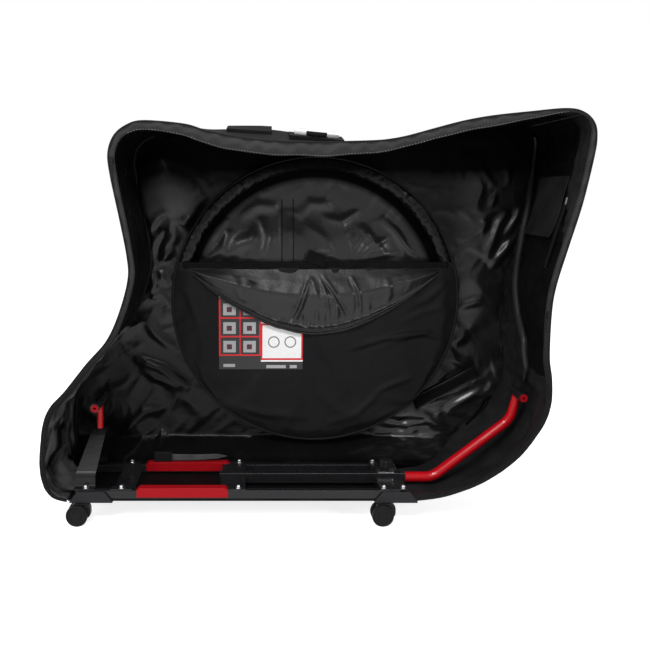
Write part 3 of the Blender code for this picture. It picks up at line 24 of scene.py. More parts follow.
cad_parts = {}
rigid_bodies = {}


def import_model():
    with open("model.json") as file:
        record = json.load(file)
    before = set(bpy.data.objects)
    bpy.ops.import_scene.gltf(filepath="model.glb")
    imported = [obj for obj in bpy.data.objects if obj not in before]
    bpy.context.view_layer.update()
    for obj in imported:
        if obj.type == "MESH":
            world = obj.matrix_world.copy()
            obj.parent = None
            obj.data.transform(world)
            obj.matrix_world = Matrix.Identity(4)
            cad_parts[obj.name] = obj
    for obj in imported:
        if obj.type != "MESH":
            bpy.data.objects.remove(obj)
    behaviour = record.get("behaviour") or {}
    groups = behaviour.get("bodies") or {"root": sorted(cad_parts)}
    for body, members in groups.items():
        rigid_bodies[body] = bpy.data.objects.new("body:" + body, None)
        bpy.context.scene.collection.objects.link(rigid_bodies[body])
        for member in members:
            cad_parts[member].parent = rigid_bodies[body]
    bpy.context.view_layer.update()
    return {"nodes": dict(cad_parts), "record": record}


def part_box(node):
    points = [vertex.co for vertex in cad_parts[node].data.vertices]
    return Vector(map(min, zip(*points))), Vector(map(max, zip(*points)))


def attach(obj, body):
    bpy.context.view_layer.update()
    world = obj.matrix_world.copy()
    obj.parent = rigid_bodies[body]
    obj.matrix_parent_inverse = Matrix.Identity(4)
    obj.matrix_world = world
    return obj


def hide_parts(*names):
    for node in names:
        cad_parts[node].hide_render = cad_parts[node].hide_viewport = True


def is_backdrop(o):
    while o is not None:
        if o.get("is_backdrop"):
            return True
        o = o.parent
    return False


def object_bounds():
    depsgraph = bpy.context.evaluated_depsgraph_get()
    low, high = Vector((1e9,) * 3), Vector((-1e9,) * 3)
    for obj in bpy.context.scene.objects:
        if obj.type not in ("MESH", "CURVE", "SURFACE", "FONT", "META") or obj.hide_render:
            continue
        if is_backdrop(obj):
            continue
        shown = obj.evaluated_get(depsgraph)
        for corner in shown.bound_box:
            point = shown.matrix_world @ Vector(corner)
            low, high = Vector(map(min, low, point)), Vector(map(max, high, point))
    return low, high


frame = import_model()
scene = bpy.context.scene

# %% [markdown]
# ## Camera
#
# A camera can be set by eye, or worked out from parts whose size and place are known.
# The second way was taken: from here both rails and the rim fall where they should.
# The camera comes first, because it decides which folds are worth making by hand.

# %% Camera
camera_data = bpy.data.cameras.new("camera")
camera_data.lens = 47.63
camera_data.sensor_width = 36
camera_data.shift_x = 0.1154
camera = bpy.data.objects.new("camera", camera_data)
camera.location = (-0.1319, -2.0285, 0.7684)
camera.rotation_euler = (math.radians(81.08), 0, 0)
scene.collection.objects.link(camera)
scene.camera = camera
scene.view_settings.view_transform = "Standard"
print("camera at", tuple(round(value, 3) for value in camera.location))

# %% [markdown]
# ## The outline of the bag
#
# The real body is cut as a few panels and sewn along one line, the outline of its side wall.
# That line could be a Bezier curve drawn in the viewport, but a table is easier to correct by
# a millimetre, so the whole body hangs on one table of places.

# %% Sizes of the body
BAG_LENGTH = 1.200
BAG_HEIGHT = 0.882
BASE_Z = 0.0553
FLOOR_TOP = 0.0598
RIM_Y = -0.176
PANEL_Y = 0.178
PANEL = 0.006
WALL = 0.006
RIM_WIDTH = 0.030
RIM_THICKNESS = 0.003
BASE_NEAR_Y = -0.123
BASE_FAR_Y = 0.094
BASE_SIDE = 0.024
NEAR_CHINE = 0.200
FAR_CHINE = 0.046
CROWN = 0.031
CROWN_CENTRE = -0.090
CROWN_REACH = 0.235
print("body: %.3f m long and %.3f m high" % (BAG_LENGTH, BAG_HEIGHT))

# %% [markdown]
# Each row of the table says how far across, how far up, and how wide the rim is there, as
# shares of the length, the height and the widest rim. Shares let the same table serve a longer
# bag, which places in metres wouldn't.

# %% The table of the outline
OUTLINE = [
    (-0.4625, 0.000, 0.20), (-0.4870, 0.018, 0.25), (-0.4980, 0.058, 0.35),
    (-0.5000, 0.129, 0.42), (-0.4940, 0.215, 0.45), (-0.4800, 0.266, 0.45),
    (-0.4510, 0.309, 0.45), (-0.4090, 0.380, 0.45), (-0.3720, 0.437, 0.45),
    (-0.3480, 0.505, 0.45), (-0.3300, 0.590, 0.45), (-0.3310, 0.650, 0.45),
    (-0.3440, 0.750, 0.45), (-0.3570, 0.8415, 0.45), (-0.3605, 0.896, 0.48),
    (-0.3490, 0.938, 0.52), (-0.3250, 0.963, 0.58), (-0.2950, 0.972, 0.66),
    (-0.2260, 0.964, 0.80), (-0.1900, 0.950, 0.90), (-0.1550, 0.940, 0.96),
    (-0.1130, 0.9305, 1.00), (-0.0717, 0.9255, 1.00), (-0.0396, 0.923, 1.00),
    (0.0096, 0.922, 1.00), (0.0588, 0.9233, 0.97), (0.0950, 0.9245, 0.92),
    (0.1280, 0.927, 0.80),
    (0.1650, 0.9355, 0.72), (0.2150, 0.9536, 0.70), (0.2650, 0.971, 0.72),
    (0.3150, 0.983, 0.72), (0.3800, 0.9925, 0.50), (0.4450, 1.000, 0.25),
    (0.4760, 0.991, 0.20), (0.4950, 0.966, 0.30), (0.5000, 0.930, 0.42),
    (0.4960, 0.880, 0.45), (0.4810, 0.7736, 0.45), (0.4610, 0.672, 0.45),
    (0.4430, 0.578, 0.45), (0.4370, 0.510, 0.45), (0.4375, 0.400, 0.45),
    (0.4440, 0.341, 0.45), (0.4455, 0.282, 0.45), (0.4365, 0.2335, 0.42),
    (0.4200, 0.193, 0.40), (0.3970, 0.151, 0.38), (0.3410, 0.0806, 0.35),
    (0.3030, 0.0467, 0.30), (0.2600, 0.018, 0.25), (0.1960, 0.000, 0.20),
]
REAR_CORNER = 17
FRONT_CORNER = 34
STEPS = 8
print("outline: %d rows" % len(OUTLINE))

# %% [markdown]
# Sewn cloth has no corners here, so a smooth curve is laid through the rows.
# Blender's own curves could do that too. Plain numbers were chosen because later steps walk
# along them and measure them.

# %% The smooth outline
def smooth_rows(rows, steps):
    """Puts extra rows between the given ones, on a smooth curve through them."""
    rows = np.array(rows, float)
    ends = np.vstack([rows[:1], rows, rows[-1:]])
    made = []
    for p, q, r, s in zip(ends, ends[1:], ends[2:], ends[3:]):
        for t in np.arange(steps) / steps:
            made.append(0.5 * (2 * q + (r - p) * t + (2 * p - 5 * q + 4 * r - s) * t * t
                               + (3 * q - p - 3 * r + s) * t ** 3))
    return np.array(made + [rows[-1]])


outline = smooth_rows(OUTLINE, STEPS)
outline[:, 0] *= BAG_LENGTH
outline[:, 1] = BASE_Z + np.maximum(outline[:, 1], 0) * BAG_HEIGHT
outline[:, 2] *= RIM_WIDTH
steps_along = np.hypot(np.diff(outline[:, 0]), np.diff(outline[:, 1]))
outline_way = np.concatenate([[0], np.cumsum(steps_along)])
CORNER_WAYS = [outline_way[REAR_CORNER * STEPS], outline_way[FRONT_CORNER * STEPS]]
print("outline length: %.2f m" % outline_way[-1])

# %% [markdown]
# Every piece that follows the edge asks for stations: evenly spaced places on the outline, each
# with the direction that points out of the bag. A curve modifier could bend pieces round the
# edge instead, but then their points couldn't be pushed about one by one.

# %% Stations along the outline
def stations(start, end, spacing):
    """Evenly spaced places along the outline: x, z, outward x, outward z, rim width, way."""
    ways = np.linspace(start, end, max(int(round((end - start) / spacing)) + 1, 3))
    x, z, rim = (np.interp(ways, outline_way, outline[:, k]) for k in range(3))
    step = 0.004
    ahead = [np.interp(ways + step, outline_way, outline[:, k]) for k in range(2)]
    behind = [np.interp(ways - step, outline_way, outline[:, k]) for k in range(2)]
    along_x, along_z = ahead[0] - behind[0], ahead[1] - behind[1]
    size = np.hypot(along_x, along_z)
    return np.stack([x, z, -along_z / size, along_x / size, rim, ways], axis=1)


print("stations 10 mm apart: %d" % len(stations(0, outline_way[-1], 0.010)))

# %% [markdown]
# The real bag is narrow at its base, where the rails are, and reaches its full depth higher up.
# Two taper values could do that for a box. Functions of the height were chosen, because the
# open side opens on a curve and the back on a straight slope.

# %% The two edges of the wall
def near_edge(z):
    """Depth of the open edge at a height: the body narrows towards its base."""
    t = np.clip((z - BASE_Z - BASE_SIDE) / NEAR_CHINE, 0, 1)
    return BASE_NEAR_Y + (RIM_Y - BASE_NEAR_Y) * t * t * (3 - 2 * t)


def far_edge(z):
    """Depth of the back's inner face at a height."""
    t = np.clip((z - BASE_Z - BASE_SIDE) / FAR_CHINE, 0, 1)
    return BASE_FAR_Y + (PANEL_Y - BASE_FAR_Y) * t


print("depth: %.3f m at the base, %.3f m in full" % (BASE_FAR_Y - BASE_NEAR_Y, PANEL_Y - RIM_Y))

# %% [markdown]
# Between its edges the wall stands out, in a crown along the top and a belly at the lower
# front. The open edge hangs out at both lower ends, where no panel is zipped to it.
# A simulation could find that sag, but its amount is known here, so tables give it.

# %% Tables of the sag
CROWN_ROWS = [(0, 0), (.07, .23), (.16, .53), (.26, .86), (.30, 1), (.42, 1), (.58, 1),
              (.80, .60), (1, 0)]
BELLY_ROWS = [(0, 0), (.010, .25), (.018, .58), (.0467, .70), (.0806, .85), (.151, .85),
              (.193, .80), (.2335, .58), (.282, .32), (.341, .12), (.400, 0)]
REAR_ROWS = [(0, 0), (.018, .45), (.058, .52), (.129, .20), (.215, .06), (.300, 0)]
FRONT_DROOP = [(.055, 0), (.066, .004), (.079, .008), (.098, .014), (.120, .017), (.145, .0185),
               (.165, .017), (.182, .014), (.202, .0085), (.230, .004), (.260, .001), (.290, 0)]
REAR_DROOP = [(.055, .001), (.070, .008), (.090, .013), (.120, .014), (.150, .012), (.180, .008),
              (.210, .004), (.250, .001), (.280, 0)]
DROOP_ROWS = [(0, 1), (.25, .8), (.6, .3), (1, 0)]
print("the open edge hangs out by up to %.1f mm" % (1000 * max(out for _, out in FRONT_DROOP)))

# %% [markdown]
# A place in a table is read with straight lines between its rows. Every point of the wall
# is a station, a share of its depth and a lift. A subdivided mesh could be pulled into
# shape instead, but this way one function serves both faces of the wall, its flap and its
# seams.

# %% How the wall stands out
def read(rows, place):
    """What a table of (place, value) rows gives at a place, with straight lines between."""
    return np.interp(place, *np.array(rows, float).T)


def bulge(line):
    """How far the middle of the wall stands out past its edges."""
    x, z, up = line[:, 0], line[:, 1], line[:, 3]
    share = (z - BASE_Z) / BAG_HEIGHT
    belly = np.where(x > 0, read(BELLY_ROWS, share), read(REAR_ROWS, share))
    t = np.clip(np.abs(x - CROWN_CENTRE) / CROWN_REACH, 0, 1)
    crown = np.cos(t * math.pi / 2) ** 2
    return CROWN * np.where(up > 0, crown, belly)


def droop(line):
    """How far the open edge hangs out at a station."""
    x, z = line[:, 0], line[:, 1]
    return np.where(x > 0, read(FRONT_DROOP, z), read(REAR_DROOP, z))


def hung(line):
    """The same stations, moved out to where the open edge hangs."""
    moved = line.copy()
    moved[:, 0] += line[:, 2] * droop(line)
    moved[:, 1] += line[:, 3] * droop(line)
    return moved


def wall_points(line, shares, lift):
    """Points of the side wall: stations by shares of the depth, lifted outwards."""
    low = near_edge(line[:, 1]) + RIM_THICKNESS
    high = far_edge(line[:, 1])
    rise = np.outer(bulge(line), read(CROWN_ROWS, shares)) + lift
    rise = rise + np.outer(droop(line), read(DROOP_ROWS, shares))
    y = low[:, None] + np.outer(high - low, shares)
    return np.stack([line[:, 0, None] + line[:, 2, None] * rise, y,
                     line[:, 1, None] + line[:, 3, None] * rise], axis=2)


print("the wall stands out by up to %.1f mm" % (1000 * bulge(stations(0, outline_way[-1],
                                                                      0.010)).max()))

# %% [markdown]
# ## Cloth tools
#
# Nylon crumples in ways that nobody models point by point. It could be sculpted by hand or
# displaced by a texture. Here each cloth is a grid of points that random fields and listed
# folds push about, because a script then gives the same cloth every time.

# %% Random fields
def rough(points, size, seed):
    """Smooth random heights from about -1 to 1, with bumps of the given size."""
    shift = Vector((seed * 7.31, seed * 3.17, seed * 5.53))
    flat = points.reshape(-1, 3) / size
    values = [noise.noise(Vector(point) + shift) for point in flat]
    return np.array(values).reshape(points.shape[:-1])


def creased(points, size, seed):
    """Sharp random ridges from 0 to 1, like crumpled nylon."""
    return (1 - np.minimum(np.abs(rough(points, size, seed)) * 3, 1)) ** 1.5


trial = np.stack(np.meshgrid(np.arange(20) / 20, [0.0], np.arange(20) / 20), axis=-1)
print("rough heights run from %.2f to %.2f" % (rough(trial, 0.1, 1).min(),
                                               rough(trial, 0.1, 1).max()))

# %% [markdown]
# A fold that must lie in one place is drawn by its path, its width and its height.
# A brush stroke in sculpt mode would do the same, but a row in a table can be read and mended.

# %% Folds and mounds
def fold(points, path, width, height, sharp=2.0):
    """The height of one fold along a path of (x, z) places, tapered at both ends.

    A broad fold has a round crest, and a crease is sharper: its last number is near 1.
    """
    flat = points.reshape(-1, 3)[:, (0, 2)]
    path = np.array(path, float)
    lengths = np.hypot(*np.diff(path, axis=0).T)
    ways = np.concatenate([[0], np.cumsum(lengths)])
    best = np.full(len(flat), 1e9)
    place = np.zeros(len(flat))
    for a, b, length, way in zip(path, path[1:], lengths, ways):
        t = np.clip((flat - a) @ (b - a) / length ** 2, 0, 1)
        away = np.hypot(*(flat - a - t[:, None] * (b - a)).T)
        closer = away < best
        best[closer] = away[closer]
        place[closer] = (way + t * length)[closer]
    taper = np.clip(np.sin(np.clip(place / ways[-1], 0, 1) * math.pi), 0, 1) ** 0.6
    made = height * taper * np.exp(-(best / width) ** sharp)
    return made.reshape(points.shape[:-1])


def swell(points, centre, reach, height):
    """A soft mound round an (x, z) place."""
    dx = (points[..., 0] - centre[0]) / reach[0]
    dz = (points[..., 2] - centre[1]) / reach[1]
    return height * np.exp(-(dx * dx + dz * dz) ** 1.3)


print("a 5 mm fold rises to %.1f mm" % (1000 * fold(trial, [(.2, .5), (.8, .5)], .1, .005).max()))

# %% [markdown]
# ## From points to pieces
#
# A piece is a mesh with its materials, tied to the body of the bag that carries it.
# Blender's operators could add the meshes, but they depend on what is selected, and plain data
# calls don't.

# %% Making one piece
def make_piece(name, points, faces, finishes, kinds=None):
    """Turns points and faces into a smooth piece that rides on the bag."""
    mesh = bpy.data.meshes.new(name)
    mesh.from_pydata([tuple(point) for point in points], [], faces)
    bm = bmesh.new()
    bm.from_mesh(mesh)
    bmesh.ops.recalc_face_normals(bm, faces=bm.faces)
    bm.to_mesh(mesh)
    bm.free()
    for finish in finishes:
        mesh.materials.append(MATERIALS[finish])
    if kinds is not None:
        mesh.polygons.foreach_set("material_index", kinds)
    mesh.shade_smooth()
    made = bpy.data.objects.new(name, mesh)
    scene.collection.objects.link(made)
    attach(made, "bag")
    return made


# %% [markdown]
# Real cloth is two surfaces a millimetre or so apart. A Solidify modifier makes them from one,
# but the outside and the lining of a bag fold differently. So two grids are closed into one
# thin piece.

# %% Thin pieces from two grids
def grid_faces(rows, columns):
    """The four-cornered faces of a grid of points."""
    corner = np.arange(rows * columns).reshape(rows, columns)
    faces = np.stack([corner[:-1, :-1], corner[:-1, 1:], corner[1:, 1:], corner[1:, :-1]], 2)
    return faces.reshape(-1, 4)


def sandwich(name, front, back, finishes, extra=0, inner=None):
    """Closes two grids of the same size into one thin piece: front face, back face, edge.

    inner may give the finish number of each face of the second grid.
    """
    rows, columns = front.shape[:2]
    count = rows * columns
    faces = grid_faces(rows, columns)
    corner = np.arange(count).reshape(rows, columns)
    edge = np.concatenate([corner[0, :-1], corner[:-1, -1], corner[-1, :0:-1], corner[:0:-1, 0]])
    after = np.roll(edge, -1)
    border = np.stack([after, edge, edge + count, after + count], axis=1)
    every = np.vstack([faces, faces[:, ::-1] + count, border]).tolist()
    last = len(finishes) - 1
    second = [last] * len(faces) if inner is None else inner.reshape(-1).tolist()
    kinds = [0] * len(faces) + second + [last] * len(border)
    points = np.vstack([front.reshape(-1, 3), back.reshape(-1, 3)])
    made = make_piece(name, points, every, finishes, kinds)
    if extra:
        smooth = made.modifiers.new("smooth", "SUBSURF")
        smooth.levels = smooth.render_levels = extra
    return made


def normals(grid):
    """The direction that a grid faces at each of its points."""
    down = np.gradient(grid, axis=0)
    across = np.gradient(grid, axis=1)
    made = np.cross(down, across)
    return made / np.maximum(np.linalg.norm(made, axis=2, keepdims=True), 1e-9)


def sewn_edges(grid):
    """Marks the points on the four edges of a grid, which are sewn and stay put."""
    sewn = np.zeros(grid.shape[:2], bool)
    sewn[0] = sewn[-1] = True
    sewn[:, 0] = sewn[:, -1] = True
    return sewn


def upright(flat, depth):
    """Stands a flat grid of (x, z) up at a depth, which may differ from point to point."""
    return np.stack([flat[..., 0], np.broadcast_to(depth, flat.shape[:2]), flat[..., 1]], 2)


print("a 3 by 3 grid has %d faces" % len(grid_faces(3, 3)))

# %% [markdown]
# A panel inside four curved edges could be filled by Blender's Grid Fill. This is the same
# idea in a few lines of sums, which keep the rows and columns in a known order.

# %% Filling four edges
def coons(bottom, top, left, right, rows, columns):
    """Fills the space inside four edges with a grid. Each edge is a list of (x, z)."""

    def resample(edge, count):
        edge = np.array(edge, float)
        way = np.concatenate([[0], np.cumsum(np.hypot(*np.diff(edge, axis=0).T))])
        ways = np.linspace(0, way[-1], count)
        return np.stack([np.interp(ways, way, edge[:, k]) for k in range(2)], axis=1)

    low, high = resample(bottom, columns), resample(top, columns)
    west, east = resample(left, rows), resample(right, rows)
    u = np.linspace(0, 1, columns)[None, :, None]
    v = np.linspace(0, 1, rows)[:, None, None]
    ruled = (1 - v) * low[None] + v * high[None] + (1 - u) * west[:, None] + u * east[:, None]
    corners = ((1 - u) * (1 - v) * low[0] + u * (1 - v) * low[-1]
               + (1 - u) * v * high[0] + u * v * high[-1])
    return ruled - corners


corner_trial = coons([(0, 0), (1, 0)], [(0, 1), (1, 1)], [(0, 0), (0, 1)], [(1, 0), (1, 1)], 3, 3)
print("middle of a filled square:", corner_trial[1, 1])

# %% [markdown]
# Piping and welts are cords sewn into a seam. A curve with a bevel would give them, but its
# radius is awkward to vary, so rings of points are laid along a path.

# %% Round cords
def ring_faces(count, sides, closed=False):
    """The faces that join rings of points in a row, with a cap at both ends."""
    faces = []
    for i in range(count if closed else count - 1):
        a, b = i * sides, ((i + 1) % count) * sides
        for j in range(sides):
            k = (j + 1) % sides
            faces.append((a + j, a + k, b + k, b + j))
    if not closed:
        faces.append(tuple(range(sides))[::-1])
        faces.append(tuple(range((count - 1) * sides, count * sides)))
    return faces


def tube(name, path, radius, finish, sides=8, closed=False):
    """A round cord, piping or welt along a path of points, with one radius or many."""
    path = np.array(path, float)
    ahead = np.roll(path, -1, axis=0) if closed else np.vstack([path[1:], path[-1:]])
    behind = np.roll(path, 1, axis=0) if closed else np.vstack([path[:1], path[:-1]])
    along = ahead - behind
    along /= np.maximum(np.linalg.norm(along, axis=1, keepdims=True), 1e-9)
    side = np.cross(along, (0.13, 1.0, 0.07))
    side /= np.maximum(np.linalg.norm(side, axis=1, keepdims=True), 1e-9)
    up = np.cross(side, along)
    turns = np.linspace(0, 2 * math.pi, sides, endpoint=False)
    ring = (np.cos(turns)[None, :, None] * side[:, None] + np.sin(turns)[None, :, None]
            * up[:, None])
    points = (path[:, None] + ring * np.reshape(radius, (-1, 1, 1))).reshape(-1, 3)
    faces = ring_faces(len(path), sides, closed)
    made = make_piece(name, points, faces, [finish])
    return made


print("a cord of 3 rings and 8 sides has %d faces" % len(ring_faces(3, 8)))

# %% [markdown]
# Stitches and zip teeth are small blocks in a row. Blender could instance one block along a
# curve, but one mesh with all of them is lighter and rides on its body as one piece.

# %% Stitches and teeth
STITCH_SPACING = 0.0065


def even(path, spacing):
    """Evenly spaced points along a path of points."""
    path = np.array(path, float)
    way = np.concatenate([[0], np.cumsum(np.linalg.norm(np.diff(path, axis=0), axis=1))])
    ways = np.arange(0, way[-1], spacing)
    return np.stack([np.interp(ways, way, path[:, k]) for k in range(3)], axis=1)


def blocks(name, centres, alongs, ups, size, finish):
    """Many small blocks in one piece, such as stitches or zip teeth."""
    corners = np.array([(x, y, z) for x in (-.5, .5) for y in (-.5, .5) for z in (-.5, .5)])
    quads = np.array([(0, 1, 3, 2), (4, 6, 7, 5), (0, 4, 5, 1), (2, 3, 7, 6), (0, 2, 6, 4),
                      (1, 5, 7, 3)])
    points, faces = [], []
    for number, (centre, along, up) in enumerate(zip(centres, alongs, ups)):
        side = np.cross(up, along)
        axes = np.array([along * size[0], side * size[1], up * size[2]])
        points.append(centre + corners @ axes)
        faces.append(quads + 8 * number)
    made = make_piece(name, np.vstack(points), np.vstack(faces).tolist(), [finish])
    return made


def stitches(name, path, up, finish="black_thread", length=0.0045, width=0.0011):
    """A row of thread stitches along a path of points, standing a little off the cloth."""
    middle = even(path, STITCH_SPACING)
    along = np.gradient(middle, axis=0)
    along /= np.maximum(np.linalg.norm(along, axis=1, keepdims=True), 1e-9)
    ups = np.broadcast_to(np.array(up, float), middle.shape)
    return blocks(name, middle, along, ups, (length, width, width), finish)


print("a stitch every %.1f mm" % (1000 * STITCH_SPACING))

# %% [markdown]
# ## A short simulation
#
# Real lining is a little larger than the frame that it is sewn into, so it buckles.
# Listed folds alone look too tidy, and a long simulation makes them too deep.
# Here the cloth grows by a small share while its sewn edges stay put, without gravity, and it
# stops after a few frames.

# %% The simulation
def settle(rest, sewn, growth, frames=16):
    """Lets a grid of cloth buckle between its sewn points and returns the new grid."""
    rows, columns = rest.shape[:2]
    mesh = bpy.data.meshes.new("cloth at rest")
    mesh.from_pydata([tuple(point) for point in rest.reshape(-1, 3)], [],
                     grid_faces(rows, columns).tolist())
    cloth_object = bpy.data.objects.new("cloth at rest", mesh)
    scene.collection.objects.link(cloth_object)
    group = cloth_object.vertex_groups.new(name="sewn")
    group.add(np.flatnonzero(sewn.reshape(-1)).tolist(), 1.0, "REPLACE")
    cloth = cloth_object.modifiers.new("cloth", "CLOTH")
    settings = cloth.settings
    settings.quality = 5
    settings.mass = 0.15
    settings.air_damping = 4
    settings.tension_stiffness = 12
    settings.compression_stiffness = 12
    settings.shear_stiffness = 5
    settings.bending_stiffness = 0.4
    settings.shrink_min = -growth
    settings.vertex_group_mass = "sewn"
    settings.effector_weights.gravity = 0.0
    cloth.collision_settings.use_collision = False
    cloth.point_cache.frame_start = 1
    cloth.point_cache.frame_end = frames
    for number in range(1, frames + 1):
        scene.frame_set(number)
    seen = cloth_object.evaluated_get(bpy.context.evaluated_depsgraph_get())
    made = np.zeros(len(mesh.vertices) * 3)
    seen.data.vertices.foreach_get("co", made)
    scene.frame_set(1)
    bpy.data.objects.remove(cloth_object, do_unlink=True)
    return made.reshape(rest.shape)


print("simulation:", "on")

# %% [markdown]
# ## Writing materials as sums
#
# A material is a small calculation. It could be wired by hand in the node editor, but a long
# one is hard to read there. The Wire class lets sockets be added and multiplied like numbers,
# so a finish is written as a sum.

# %% Wires
class Wire:
    """A value inside a material, which can be used in sums."""

    def __init__(self, recipe, socket):
        self.recipe = recipe
        self.socket = socket

    def sum(self, operation, *values):
        inputs = dict(enumerate(values))
        return self.recipe.add("ShaderNodeMath", {"operation": operation}, inputs)

    def __add__(self, other):
        return self.sum("ADD", self, other)

    def __radd__(self, other):
        return self.sum("ADD", other, self)

    def __sub__(self, other):
        return self.sum("SUBTRACT", self, other)

    def __rsub__(self, other):
        return self.sum("SUBTRACT", other, self)

    def __mul__(self, other):
        return self.sum("MULTIPLY", self, other)

    def __rmul__(self, other):
        return self.sum("MULTIPLY", other, self)

    def __truediv__(self, other):
        return self.sum("DIVIDE", self, other)

    def __rtruediv__(self, other):
        return self.sum("DIVIDE", other, self)

    def __pow__(self, other):
        return self.sum("POWER", self, other)

    def __rpow__(self, other):
        return self.sum("POWER", other, self)

    def __abs__(self):
        return self.sum("ABSOLUTE", self)

    def over(self, limit):
        """1 where the value is over the limit, or else 0."""
        return self.sum("GREATER_THAN", self, limit)

    def wave(self):
        """The sine of the value."""
        return self.sum("SINE", self)

    def output(self, name):
        """Another output of the node that this wire comes from."""
        return Wire(self.recipe, self.socket.node.outputs[name])


print("wires:", ", ".join(way.strip("_") for way in vars(Wire) if way != "__init__"
                          and callable(vars(Wire)[way])))

# %% [markdown]
# One method adds every other node: it takes the node's type, its settings and its inputs.
# The bench holds it, for any tree of nodes, and a recipe is a bench with a material on it.

# %% The bench
class Bench:
    """A tree of nodes that is built up a node at a time."""

    def __init__(self, tree):
        self.tree = tree

    def add(self, kind, settings=None, inputs=None, output=0):
        """Adds a node, with its settings first and then its inputs."""
        node = self.tree.nodes.new(kind)
        for key, value in (settings or {}).items():
            setattr(node, key, value)
        for key, value in (inputs or {}).items():
            self.connect(value, node.inputs[key])
        return Wire(self, node.outputs[output])

    def connect(self, value, socket):
        """Links a wire to a socket, or sets the socket to a plain value."""
        if isinstance(value, Wire):
            self.tree.links.new(value.socket, socket)
        else:
            socket.default_value = value


print("bench:", ", ".join(way for way in vars(Bench) if way[0] != "_"))

# %% [markdown]
# The recipe knows where a point of the surface is. Textures could be laid on by UV maps, but
# the place itself never stretches and needs no unwrapping, so it drives every pattern.

# %% The recipe
class Recipe(Bench):
    """A material that is built up a node at a time."""

    def __init__(self, name):
        self.material = bpy.data.materials.new(name)
        self.material.use_nodes = True
        super().__init__(self.material.node_tree)
        self.shader = self.tree.nodes["Principled BSDF"]
        self.surface = Wire(self, self.shader.outputs[0])
        self.place = self.add("ShaderNodeTexCoord", output="Object")

    def axes(self):
        """The place's x, y and z as three wires."""
        split = self.add("ShaderNodeSeparateXYZ", {}, {0: self.place})
        return [split.output(name) for name in "XYZ"]

    def stretched(self, x, y, z):
        """The place, scaled differently along each axis."""
        return self.add("ShaderNodeVectorMath", {"operation": "MULTIPLY"},
                        {0: self.place, 1: (x, y, z)})

    def noise(self, scale, detail=3.0, place=None, kind="FBM", distortion=0.0):
        """A noise texture's value."""
        return self.add("ShaderNodeTexNoise", {"noise_type": kind},
                        {"Vector": place or self.place, "Scale": scale, "Detail": detail,
                         "Distortion": distortion})

    def clipped(self, value):
        """A value kept between 0 and 1."""
        return value.sum("MINIMUM", value.sum("MAXIMUM", value, 0.0), 1.0)

    def mix(self, share, first, second):
        """One colour fading into another."""
        return self.add("ShaderNodeMix", {"data_type": "RGBA"},
                        {0: share, 6: (*first, 1) if isinstance(first, tuple) else first,
                         7: (*second, 1) if isinstance(second, tuple) else second}, output=2)

    def show(self, surface):
        """Makes a shader the one that is seen."""
        self.connect(surface, self.tree.nodes["Material Output"].inputs["Surface"])

    def fade(self, share, colour, shine):
        """Paints shade: fades into a matt, darker cloth where the share is near 1."""
        painted_shade_shader = self.add("ShaderNodeBsdfPrincipled", {},
                        {"Base Color": colour, "Roughness": 0.6, "Specular IOR Level": shine})
        self.show(self.add("ShaderNodeMixShader", {}, {0: share, 1: self.surface, 2: painted_shade_shader}))

    def done(self, colour, roughness, relief=None, strength=0.3, distance=0.001, **rest):
        """Connects the colour, roughness and relief to the main shader."""
        values = {"Base Color": (*colour, 1) if isinstance(colour, tuple) else colour,
                  "Roughness": roughness}
        values.update({key.replace("_", " "): value for key, value in rest.items()})
        for key, value in values.items():
            self.connect(value, self.shader.inputs[key])
        if relief is not None:
            bump = self.add("ShaderNodeBump", {}, {"Height": relief, "Strength": strength,
                                                   "Distance": distance})
            self.connect(bump, self.shader.inputs["Normal"])
        return self.material


print("recipe:", ", ".join(way for way in vars(Recipe) if way[0] != "_"))

# %% [markdown]
# ## Fabrics
#
# Nearly everything on the bag is black, so its fabrics differ by their sheen and their surface.
# Pictures of cloth could be laid on them, but they repeat and blur close up. The fabrics here
# are worked out at each point instead, down to the threads.

# %% A plain weave
def weave(recipe, pitch):
    """A plain weave: threads that pass over and under each other."""
    x, y, z = recipe.axes()
    turn = 2 * math.pi / pitch
    across = ((x + y * 0.6) * turn).wave()
    along = ((z + y * 0.4) * turn).wave()
    return across * along


MATERIALS = {}
CANVAS_THREAD = 0.0016
LINING_THREAD = 0.0012
print("threads: %.1f mm in the canvas, %.1f mm in the lining" % (1000 * CANVAS_THREAD,
                                                                 1000 * LINING_THREAD))
